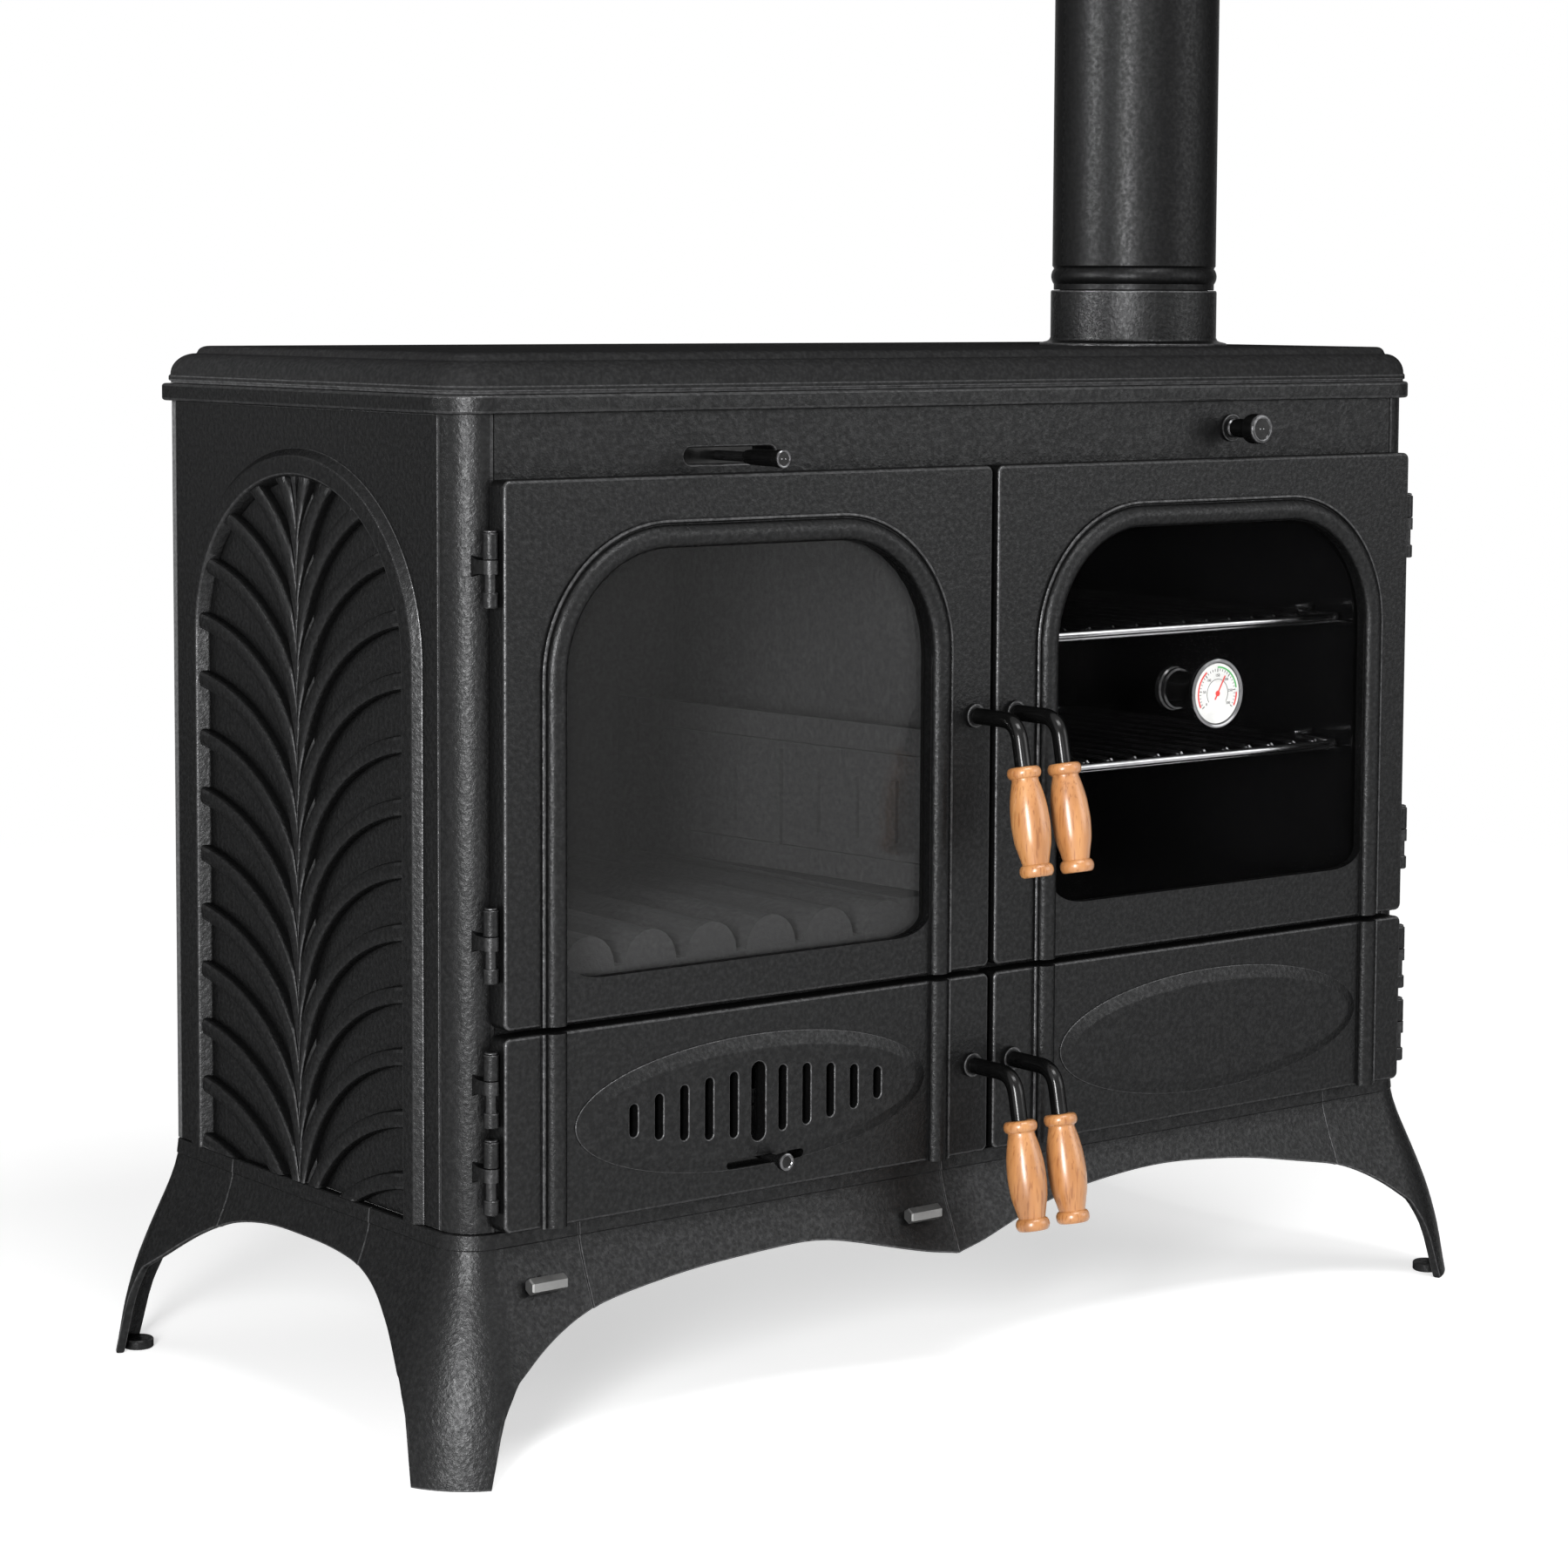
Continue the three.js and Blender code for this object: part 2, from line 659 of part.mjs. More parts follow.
// ---------------------------------------------------------------- body castings
function frontFrame() {
  const W = bodyWidth;
  const R = pillarRadius;
  const inner = R - castWall;
  const section = new THREE.Shape();
  section.moveTo(0, R);
  section.absarc(R, R, R, Math.PI, 1.5 * Math.PI);
  section.lineTo(W - R, 0);
  section.absarc(W - R, R, R, 1.5 * Math.PI, 2 * Math.PI);
  section.lineTo(W - castWall, R);
  section.absarc(W - R, R, inner, 0, -Math.PI / 2, true);
  section.lineTo(R, castWall);
  section.absarc(R, R, inner, 1.5 * Math.PI, Math.PI, true);
  const rim = new THREE.Shape();
  rim.moveTo(-rimOverhang, rimSeam);
  rim.lineTo(-rimOverhang, R);
  rim.absarc(R, R, R + rimOverhang, Math.PI, 1.5 * Math.PI);
  rim.lineTo(W - R, -rimOverhang);
  rim.absarc(W - R, R, R + rimOverhang, 1.5 * Math.PI, 2 * Math.PI);
  rim.lineTo(W + rimOverhang, rimSeam);
  rim.lineTo(W - rimInset, rimSeam);
  rim.lineTo(W - rimInset, rimInset);
  rim.lineTo(rimInset, rimInset);
  rim.lineTo(rimInset, rimSeam);
  let frame = join(
    floorSlab(section, bodyBottom, rimBottom + 1, 4),
    floorSlab(rim, rimBottom, rimTop, 4),
    turnedAlongY([
      [0, -damperRose], [damperRoseRadius, -damperRose], [damperRoseRadius, 2], [0, 2],
    ], 14, damperX, damperZ),
  );
  const far = W - openingSide;
  frame = cut(
    frame,
    block(openingSide, barStart, -1, castWall + 1, fireOpeningBottom, upperOpeningTop),
    block(openingSide, barStart, -1, castWall + 1, lowerOpeningBottom, lowerOpeningTop),
    block(barEnd, far, -1, castWall + 1, ovenOpeningBottom, upperOpeningTop),
    block(barEnd, far, -1, castWall + 1, lowerOpeningBottom, lowerOpeningTop),
    slab(slotShape(
      airSlotX, airSlotX + airSlotLength, airSlotZ - airSlotHeight / 2, airSlotZ + airSlotHeight / 2,
    ), -1, castWall + 1),
    bar(vec(damperX, -5, damperZ), vec(damperX, castWall + 1, damperZ), damperRodRadius + spindlePlay, 14),
  );
  for (const z of [...upperHingeHeights, ...lowerHingeHeights]) {
    frame = frame.add(hingeLug(leftAxisX, -1, z)).add(hingeLug(rightAxisX, 1, z));
  }
  return frame;
}

// The ear on the pillar that a hinge pin passes through.
function hingeLug(axisX, outward, z) {
  const low = z - lugHeight / 2;
  const high = z + lugHeight / 2;
  const root = axisX + outward * lugReach;
  const tip = axisX - outward * 2;
  const nose = bar(vec(axisX, hingeAxisY, low), vec(axisX, hingeAxisY, high), knuckleRadius + 0.5, 8);
  const web = block(Math.min(root, tip), Math.max(root, tip), hingeAxisY - 4, castWall + 1.5, low, high);
  return cut(
    join(nose, web),
    bar(vec(axisX, hingeAxisY, low - 1), vec(axisX, hingeAxisY, high + 1), pinRadius + fit, 8),
  );
}

// One fan rib of the side relief: a wedge that leaves the spine upright and levels out at the border.
function fanRib(startZ, direction, centreY) {
  const steps = 3;
  const positions = [];
  for (let i = 0; i <= steps; i += 1) {
    const angle = ((Math.PI / 2) * i) / steps;
    const y = centreY + direction * (ribSpineHalf + ribReach * (1 - Math.cos(angle)));
    const z = startZ + ribRise * Math.sin(angle);
    const width = 2 + ribWidth * (i / steps);
    const tangentY = direction * ribReach * Math.sin(angle);
    const tangentZ = ribRise * Math.cos(angle);
    const length = Math.hypot(tangentY, tangentZ);
    const normalY = (direction * -tangentZ) / length;
    const normalZ = (direction * tangentY) / length;
    positions.push(1, y + (normalY * width) / 2, z + (normalZ * width) / 2);
    positions.push(-ribHeight, y - (normalY * width) / 4, z - (normalZ * width) / 4);
    positions.push(1, y - (normalY * width) / 2, z - (normalZ * width) / 2);
  }
  const triangles = [];
  for (let i = 0; i < steps; i += 1) {
    for (let k = 0; k < 3; k += 1) {
      const a = 3 * i + k;
      const b = 3 * i + ((k + 1) % 3);
      triangles.push(a, b, b + 3, a, b + 3, a + 3);
    }
  }
  const end = 3 * steps;
  triangles.push(2, 1, 0, end, end + 1, end + 2);
  return outwardSolid(positions, triangles);
}

function archOutline(centreY, halfWidth, top, rise, bottom) {
  const shape = new THREE.Shape();
  shape.moveTo(centreY - halfWidth, bottom);
  shape.lineTo(centreY + halfWidth, bottom);
  shape.lineTo(centreY + halfWidth, top - rise);
  shape.absellipse(centreY, top - rise, halfWidth, rise, 0, Math.PI);
  return shape;
}

function archBorder(centreY) {
  const inner = archHalfWidth - archBandWidth;
  const shape = archOutline(centreY, archHalfWidth, archTop, archRise, bodyBottom);
  const innerTop = archTop - archBandWidth;
  const innerRise = archRise - archBandWidth / 2;
  const hole = archOutline(centreY, inner, innerTop, innerRise, bodyBottom - 20);
  const outerSlab = sideSlab(shape, -archHeight, 1, { curveSegments: 12 });
  return outerSlab.subtract(sideSlab(hole, -archHeight - 1, 2, { curveSegments: 12 }));
}

// A side casting, built for the left and mirrored for the right.
function sidePanel(right) {
  const centreY = (panelStart + panelEnd) / 2;
  const inside = archOutline(
    centreY, archHalfWidth - archBandWidth + 1, archTop - archBandWidth + 1,
    archRise - archBandWidth / 2, bodyBottom,
  );
  let ribs = fanRib(bodyBottom - 20, 1, centreY).add(fanRib(bodyBottom - 20, -1, centreY));
  for (let i = 0; i < ribCount; i += 1) {
    const z = bodyBottom - ribRise + ribPitch * (i + 0.4);
    ribs = ribs.add(fanRib(z, 1, centreY)).add(fanRib(z, -1, centreY));
  }
  const relief = ribs.intersect(sideSlab(inside, -archHeight, 1.5, { curveSegments: 12 }));
  const body = join(
    block(0, castWall, panelStart, panelEnd, bodyBottom, rimBottom - fit),
    block(0, castWall, rimSeam + fit, panelEnd, rimBottom - 1, rimBottom + 1),
    block(-rimOverhang, rimInset, rimSeam + fit, bodyDepth + rimBackOverhang, rimBottom, rimTop),
    archBorder(centreY),
    relief,
  );
  return right ? body.mirror([1, 0, 0]).translate([bodyWidth, 0, 0]) : body;
}

function backPanel() {
  const start = rimInset + fit;
  return join(
    block(0, bodyWidth, bodyDepth - castWall, bodyDepth, bodyBottom, rimBottom - fit),
    block(start, bodyWidth - start, bodyDepth - rimInset, bodyDepth + rimBackOverhang, rimBottom, rimTop),
    block(start, bodyWidth - start, bodyDepth - castWall, bodyDepth, rimBottom - 1, rimBottom + 1),
  );
}

// One level of the cooktop: an outline inset from the lip, with the front corners rounder.
function cooktopRing(inset, z) {
  const x0 = -rimOverhang + cooktopInset + inset;
  const x1 = bodyWidth - x0;
  const y0 = -rimOverhang + cooktopInset + inset;
  const y1 = bodyDepth + rimBackOverhang - inset;
  const frontRadius = Math.max(pillarRadius + rimOverhang - cooktopInset - inset, 6);
  const backRadius = Math.max(8 - inset / 4, 3);
  const ring = [];
  const arc = (cx, cy, radius, from) => {
    for (let i = 0; i <= 4; i += 1) {
      const angle = from + ((Math.PI / 2) * i) / 4;
      ring.push(cx + radius * Math.cos(angle), cy + radius * Math.sin(angle), z);
    }
  };
  arc(x0 + frontRadius, y0 + frontRadius, frontRadius, Math.PI);
  arc(x1 - frontRadius, y0 + frontRadius, frontRadius, 1.5 * Math.PI);
  arc(x1 - backRadius, y1 - backRadius, backRadius, 0);
  arc(x0 + backRadius, y1 - backRadius, backRadius, Math.PI / 2);
  return ring;
}

function cooktop() {
  const lip = rimTop + cooktopLift;
  const rise = cooktopTop - lip;
  const levels = [
    [12, rimTop + fit], [12, lip], [0, lip], [0, lip + 4.4], [1.4, lip + 5.4], [3.2, lip + rise * 0.34],
    [5.8, lip + rise * 0.5], [9.4, lip + rise * 0.64], [13.6, lip + rise * 0.74], [18, lip + rise * 0.79],
    [19.4, lip + rise * 0.89], [22, lip + rise * 0.97], [25.5, cooktopTop],
  ];
  const rings = levels.map(([inset, z]) => cooktopRing(inset, z));
  const around = rings[0].length / 3;
  const positions = rings.flat();
  const triangles = [];
  for (let level = 0; level + 1 < rings.length; level += 1) {
    for (let i = 0; i < around; i += 1) {
      const a = level * around + i;
      const b = level * around + ((i + 1) % around);
      triangles.push(a, b, b + around, a, b + around, a + around);
    }
  }
  const top = (rings.length - 1) * around;
  for (let i = 1; i + 1 < around; i += 1) {
    triangles.push(0, i + 1, i, top, top + i, top + i + 1);
  }
  const slabBody = outwardSolid(positions, triangles);
  const hollowTop = cooktopTop - cooktopSkin;
  const border = cooktopBorder;
  return cut(
    slabBody,
    block(border, bodyWidth - border, border, bodyDepth - border, rimTop - 1, hollowTop),
    bar(vec(flueX, flueY, rimTop), vec(flueX, flueY, cooktopTop + 1), flueSpigotRadius - 2, 28),
    bar(
      vec(flueX, flueY, cooktopTop - flueSeatDepth), vec(flueX, flueY, cooktopTop + 1),
      flueFlangeRadius + fit, 28,
    ),
  );
}

function flueCollar() {
  const seat = cooktopTop - flueSeatDepth + fit;
  const top = cooktopTop + flueCollarHeight;
  const inside = flueSpigotRadius + fit;
  return turned([
    [inside, seat], [flueFlangeRadius, seat], [flueFlangeRadius, seat + 3.5],
    [flueCollarRadius + 3, seat + 5],
    [flueCollarRadius, seat + 8], [flueCollarRadius, top - 1], [flueCollarRadius - 1, top], [inside, top],
    [inside, seat],
  ], 28, flueX, flueY);
}

function fluePipe() {
  const base = cooktopTop + flueCollarHeight + fit;
  const bead = base + 5.4;
  const sleeve = flueSpigotRadius - flueWall;
  const bore = flueRadius - flueWall;
  return turned([
    [sleeve, base - 36], [flueSpigotRadius, base - 36], [flueSpigotRadius, base], [flueRadius - 1.4, base],
    [flueRadius - 1.4, bead], [flueRadius + 1, bead + 3], [flueRadius + 1, bead + 11],
    [flueRadius, bead + 14], [flueRadius, flueTop], [bore, flueTop], [bore, base + 6], [sleeve, base + 2],
    [sleeve, base - 36],
  ], 28, flueX, flueY);
}

// ---------------------------------------------------------------- doors
// A door casting: an eased block hollowed from behind, with hinge knuckles on one edge.
function doorBlank(x0, x1, z0, z1) {
  return slab(roundedRectangle(x0, x1, z0, z1, doorCornerRadius), -doorStand, -doorClearance, {
    ease: doorEase, curveSegments: 1, easeSteps: 1,
  });
}

function hollowDoor(body, x0, x1, z0, z1) {
  const t = doorReturn;
  return cut(body, block(x0 + t, x1 - t, doorSkinBack, 1, z0 + t, z1 - t));
}

function addHinges(body, edgeX, hingesLeft, heights) {
  const outward = hingesLeft ? -1 : 1;
  const axisX = edgeX + outward * hingeOffset;
  const half = lugHeight / 2 + knucklePlay;
  let door = body;
  for (const z of heights) {
    const outer = axisX + outward * (knuckleRadius + 2);
    const inner = axisX - outward * (lugReach + 1);
    door = cut(door, block(
      Math.min(outer, inner), Math.max(outer, inner), -doorStand - 1, 1, z - half - 0.6, z + half + 0.6,
    ));
    for (const [low, high] of [[z - half - knuckleBelow, z - half], [z + half, z + half + knuckleAbove]]) {
      const root = axisX - outward * (hingeOffset + doorReturn - 1);
      door = join(
        door,
        bar(vec(axisX, hingeAxisY, low), vec(axisX, hingeAxisY, high), knuckleRadius, 8),
        block(Math.min(axisX, root), Math.max(axisX, root), hingeAxisY - 4, hingeAxisY + 4, low, high),
      );
      door = cut(
        door,
        bar(vec(axisX, hingeAxisY, low - 1), vec(axisX, hingeAxisY, high + 1), pinRadius + fit, 8),
      );
    }
  }
  return door;
}

function beadEnds(x0, x1, hingesLeft) {
  return hingesLeft
    ? [x0 + beadHingeInset, x1 - beadHandleInset]
    : [x0 + beadHandleInset, x1 - beadHingeInset];
}

function handleBoss(x, z) {
  return turnedAlongY([
    [0, -doorStand - bossHeight], [bossRadius - 1, -doorStand - bossHeight],
    [bossRadius, -doorStand - bossHeight + 1], [bossRadius, -doorStand + 2], [0, -doorStand + 2],
  ], 12, x, z);
}

function spindleHole(x, z) {
  return bar(vec(x, -doorStand - bossHeight - 1, z), vec(x, 1, z), spindleRadius + spindlePlay, 12);
}

function upperDoor(x0, x1, hingesLeft, handleX, windowBottom) {
  const [z0, z1] = [upperDoorBottom, upperDoorTop];
  const [beadX0, beadX1] = beadEnds(x0, x1, hingesLeft);
  const band = archBand(beadX0, beadX1, z0 - beadWidth, beadTop, beadArchRadius, beadWidth);
  const bead = slab(band, -doorStand - beadHeight, -doorStand + beadHeight, {
    ease: beadHeight, curveSegments: 4, easeSteps: 2,
  }).intersect(block(x0, x1, -doorStand - beadHeight - 1, 1, z0, z1));
  let door = join(doorBlank(x0, x1, z0, z1), bead, handleBoss(handleX, upperHandleHeight));
  door = hollowDoor(door, x0, x1, z0, z1);
  door = cut(
    door,
    slab(windowOutline(beadX0, beadX1, windowBottom, 0.5), -doorStand - beadHeight - 1, 1, {
      curveSegments: 4,
    }),
    spindleHole(handleX, upperHandleHeight),
  );
  return addHinges(door, hingesLeft ? x0 : x1, hingesLeft, upperHingeHeights);
}

// The window inside the bead; a positive inset makes it smaller and a negative one larger.
function windowOutline(beadX0, beadX1, windowBottom, inset) {
  const radius = beadArchRadius - beadWidth;
  return windowShape(
    beadX0 + beadWidth + inset, beadX1 - beadWidth - inset,
    windowBottom + inset, beadTop - beadWidth - inset,
    radius - inset, windowCornerWidth, windowCornerHeight,
  );
}

function doorGlass(x0, x1, hingesLeft, windowBottom) {
  const [beadX0, beadX1] = beadEnds(x0, x1, hingesLeft);
  const front = doorSkinBack + fit;
  return slab(windowOutline(beadX0, beadX1, windowBottom, -glassLap), front, front + glassThickness, {
    curveSegments: 4,
  });
}

// The sheet frame behind a pane, with a lip round the pane's edge that meets the casting.
function glassRetainer(x0, x1, hingesLeft, windowBottom) {
  const [beadX0, beadX1] = beadEnds(x0, x1, hingesLeft);
  const outline = (inset) => windowOutline(beadX0, beadX1, windowBottom, inset);
  const front = doorSkinBack + fit;
  const glassBack = front + glassThickness + fit;
  const back = glassBack + retainerSheet;
  const options = { curveSegments: 4 };
  return cut(
    slab(outline(-glassLap - retainerLip), front, back, options),
    slab(outline(-glassLap - 1), front - 1, glassBack, options),
    slab(outline(-1), front - 1, back + 1, options),
  );
}

function doorSeal(x0, x1) {
  const [z0, z1] = [upperDoorBottom, upperDoorTop];
  const out = doorReturn + 0.5;
  const inn = out + sealWidth;
  return cut(
    slab(roundedRectangle(x0 + out, x1 - out, z0 + out, z1 - out, 8), doorSkinBack + fit, -fit, {
      ease: 1.2, curveSegments: 1, easeSteps: 1,
    }),
    block(x0 + inn, x1 - inn, doorSkinBack, 1, z0 + inn, z1 - inn),
  );
}

function lowerDoor(x0, x1, hingesLeft, handleX) {
  const [z0, z1] = [lowerDoorBottom, lowerDoorTop];
  const [beadX0, beadX1] = beadEnds(x0, x1, hingesLeft);
  const oval = ovalPlace(x0, x1, hingesLeft);
  const raised = slab(
    ellipseShape(oval.x, ovalCentreHeight, oval.halfWidth, ovalHalfHeight),
    -doorStand - ovalHeight, -doorStand + ovalHeight,
    { ease: ovalHeight, curveSegments: 12 },
  );
  const innerOval = slab(
    ellipseShape(oval.x, ovalCentreHeight, oval.halfWidth - ovalBand, ovalHalfHeight - ovalBand),
    -doorStand - ovalHeight, -doorStand + 1, { curveSegments: 12 },
  );
  let door = join(
    doorBlank(x0, x1, z0, z1), straightBead(beadX0, z0, z1), straightBead(beadX1 - beadWidth, z0, z1),
    raised, innerOval, handleBoss(handleX, lowerHandleHeight),
  );
  door = hollowDoor(door, x0, x1, z0, z1);
  door = cut(door, spindleHole(handleX, lowerHandleHeight));
  return addHinges(door, hingesLeft ? x0 : x1, hingesLeft, lowerHingeHeights);
}

function ovalPlace(x0, x1, hingesLeft) {
  const [beadX0, beadX1] = beadEnds(x0, x1, hingesLeft);
  return {
    x: (beadX0 + beadX1) / 2 + ovalShift,
    halfWidth: (beadX1 - beadX0) / 2 - beadWidth - ovalMargin,
  };
}

function straightBead(x0, z0, z1) {
  const shape = new THREE.Shape();
  shape.moveTo(x0, -doorStand + 1);
  shape.lineTo(x0, -doorStand);
  shape.absellipse(x0 + beadWidth / 2, -doorStand, beadWidth / 2, beadHeight, Math.PI, 2 * Math.PI);
  shape.lineTo(x0 + beadWidth, -doorStand + 1);
  return floorSlab(shape, z0, z1, 3);
}

function airSlots(y0, y1, centre) {
  const middle = (airSlotCount - 1) / 2;
  const slots = [];
  for (let i = 0; i < airSlotCount; i += 1) {
    const away = Math.abs(i - middle);
    const length = away === 0 ? centreSlotLength : airSlotReach - airSlotShortening * away * away;
    const width = away === 0 ? centreSlotWidth : airSlotWidth;
    const x = centre + (i - middle) * airSlotPitch;
    slots.push(slab(slotShape(
      x - width / 2, x + width / 2, ovalCentreHeight - length / 2, ovalCentreHeight + length / 2,
    ), y0, y1, { curveSegments: 1 }));
  }
  return join(...slots);
}

function ashDoor() {
  const centre = ovalPlace(doorMargin, leftDoorEnd, true).x;
  const railTop = registerTop + 0.5;
  const plain = lowerDoor(doorMargin, leftDoorEnd, true, leftHandleX);
  const slotted = cut(
    plain,
    airSlots(-doorStand - ovalHeight - 1, 1, centre),
    slab(slotShape(
      registerSlotStart, registerSlotStart + registerSlotLength,
      registerSlotHeight - registerSlotWidth / 2, registerSlotHeight + registerSlotWidth / 2,
    ), -doorStand - ovalHeight - 1, 1, { curveSegments: 2 }),
  );
  const railX0 = centre - registerHalfLength - 30;
  const railX1 = centre + registerHalfLength + 20;
  return join(
    slotted,
    block(railX0, railX1, doorSkinBack - 1, doorSkinBack + 3, railTop, railTop + 4),
    block(railX0, railX1, doorSkinBack - 1, doorSkinBack + 3, registerBottom - 4.5, registerBottom - 0.5),
  );
}

// The sliding plate behind the ash door's slots, with its rod and knob through the small slot.
function airRegister() {
  const centre = ovalPlace(doorMargin, leftDoorEnd, true).x;
  const front = doorSkinBack + fit;
  const plate = block(
    centre - registerHalfLength, centre + registerHalfLength, front, front + registerSheet,
    registerBottom, registerTop,
  );
  const x = registerKnobX;
  const z = registerSlotHeight;
  const face = -doorStand - ovalHeight;
  return join(
    cut(plate, airSlots(front - 1, front + registerSheet + 1, centre)),
    turnedAlongY([
      [0, face - 18], [knobRadius - 1.5, face - 18], [knobRadius, face - 16.5], [knobRadius, face - 8],
      [knobRadius - 1, face - 6.5], [3.2, face - 5], [3.2, front + 1], [0, front + 1],
    ], 12, x, z),
  );
}

function hingePin(z0, z1) {
  return turned([
    [0, z0], [pinRadius, z0], [pinRadius, z1], [knuckleRadius - 1, z1], [knuckleRadius - 1.4, z1 + 2],
    [0, z1 + 2],
  ], 8);
}

// ---------------------------------------------------------------- handles
// The bent lever, drawn with its spindle on the Y axis: cam, spindle, bend and tang in one piece.
function lever() {
  const start = vec(0, -doorStand - bossHeight - fit, 0);
  const corner = vec(0, -doorStand - leverReach, 0);
  const down = vec(0, -Math.sin(leverLean), -Math.cos(leverLean));
  const along = (from, distance) => from.clone().add(down.clone().multiplyScalar(distance));
  const before = vec(0, corner.y + leverBend, 0);
  const gripTop = along(corner, gripDrop / Math.cos(leverLean));
  const path = new THREE.CurvePath();
  path.add(new THREE.LineCurve3(start, before));
  path.add(new THREE.QuadraticBezierCurve3(before, corner, along(corner, leverBend)));
  path.add(new THREE.LineCurve3(along(corner, leverBend), gripTop));
  const circle = new THREE.Shape();
  circle.absarc(0, 0, leverRadius, 0, 2 * Math.PI);
  const rod = solid(new THREE.ExtrudeGeometry(circle, {
    steps: 9, curveSegments: 4, bevelEnabled: false, extrudePath: path,
  }));
  return join(
    rod,
    bar(along(gripTop, -1), along(gripTop, tangLength), tangRadius, 8),
    bar(vec(0, start.y - 1, 0), vec(0, camY + camThickness, 0), spindleRadius, 10),
    block(-camWidth / 2, camWidth / 2, camY, camY + camThickness, 0, camLength),
  );
}

// The turned wooden grip, drawn hanging from the lever's tang with its top at the origin.
function grip() {
  const L = gripLength;
  const R = gripRadius;
  const collar = R - 2;
  const neck = R * 0.68;
  const profile = [
    [0, -L], [collar - 2.5, -L], [collar, -L + 3], [collar, -L + 7], [neck, -L + 11], [R * 0.9, -L + 28],
    [R, -L + 46], [R * 0.9, -L + 62], [neck, -L + 79], [collar, -8], [collar, -3], [collar - 3, 0],
    [gripBore, 0], [gripBore, -gripBoreDepth], [0, -gripBoreDepth],
  ];
  return turned(profile, 12);
}

function gripPlace() {
  return { y: -doorStand - leverReach - gripDrop * Math.tan(leverLean), z: -gripDrop };
}

// ---------------------------------------------------------------- controls
// The push rod above the fire door, with its shutter behind the frame.
function airSlider() {
  const x = airKnobX;
  const z = airSlotZ;
  const start = -airKnobStart;
  const tip = start - airKnobLength;
  return join(
    turnedAlongY([
      [0, tip], [knobRadius - 1, tip], [knobRadius, tip + 1.5], [knobRadius - 1.2, start - 2],
      [knobRadius - 2, start], [airRodRadius, start], [airRodRadius, castWall + 2], [0, castWall + 2],
    ], 12, x, z),
    block(x - 34, x + 34, castWall + fit, castWall + fit + 2, z - 16, z + 16),
  );
}

// The pull knob of the flue damper, with its rod and plate behind the frame.
function flueDamper() {
  const face = -damperFace;
  const front = -damperRose - fit;
  return join(
    turnedAlongY([
      [0, face], [damperKnobRadius - 3, face], [damperKnobRadius, face + 2.5],
      [damperKnobRadius, face + 14], [damperKnobRadius - 2, face + 17], [damperNeckRadius, face + 19],
      [damperNeckRadius, front],
      [damperRodRadius, front], [damperRodRadius, damperPlateBack - 1], [0, damperPlateBack - 1],
    ], 14, damperX, damperZ),
    block(
      damperX - damperPlateHalfWidth, damperX + damperPlateHalfWidth,
      damperPlateBack - damperPlateThickness, damperPlateBack,
      damperZ - damperPlateHalfHeight, damperZ + damperPlateHalfHeight,
    ),
  );
}

function thermometerBody() {
  const base = doorSkinBack;
  const front = -doorStand - dialStand;
  return turnedAlongY([
    [0, front + 2.5], [dialRadius - 3.5, front + 2.5], [dialRadius - 3, front], [dialRadius, front],
    [dialRadius, front + 4], [dialRadius - 1, front + 6], [23, front + 9], [15.5, base - 22],
    [15.5, base - 6], [19, base - 3], [19, base], [0, base],
  ], 20, thermometerX, thermometerZ);
}

function thermometerDial() {
  const front = -doorStand - dialStand;
  return turnedAlongY([
    [0, front + 1], [dialRadius - 4.2, front + 1], [dialRadius - 4.2, front + 2.5 - fit],
    [0, front + 2.5 - fit],
  ], 20, thermometerX, thermometerZ);
}

// ---------------------------------------------------------------- inside the body
// The bottom plate, with its front corners cut back from the hollow pillars.
function basePlate() {
  const near = castWall + fit;
  const far = bodyWidth - near;
  const corner = panelStart;
  return floorSlab(polygon([
    [near, corner], [corner, near], [bodyWidth - corner, near], [far, corner],
    [far, bodyDepth - near], [near, bodyDepth - near],
  ]), bodyBottom, baseTop);
}

// The plate under the fire, with the opening that the grate stands over.
function hearth() {
  const near = castWall + fit;
  const plate = floorSlab(polygon([
    [near, panelStart], [panelStart, near], [partitionX - fit, near],
    [partitionX - fit, bodyDepth - near], [near, bodyDepth - near],
  ]), hearthHeight, grateSeat);
  const first = grateFirstX;
  const last = grateFirstX + grateBarPitch * (grateBarCount - 1);
  return cut(plate, block(
    first, last, grateFront + 40, grateRear - 40, hearthHeight - 1, grateSeat + 1,
  ));
}

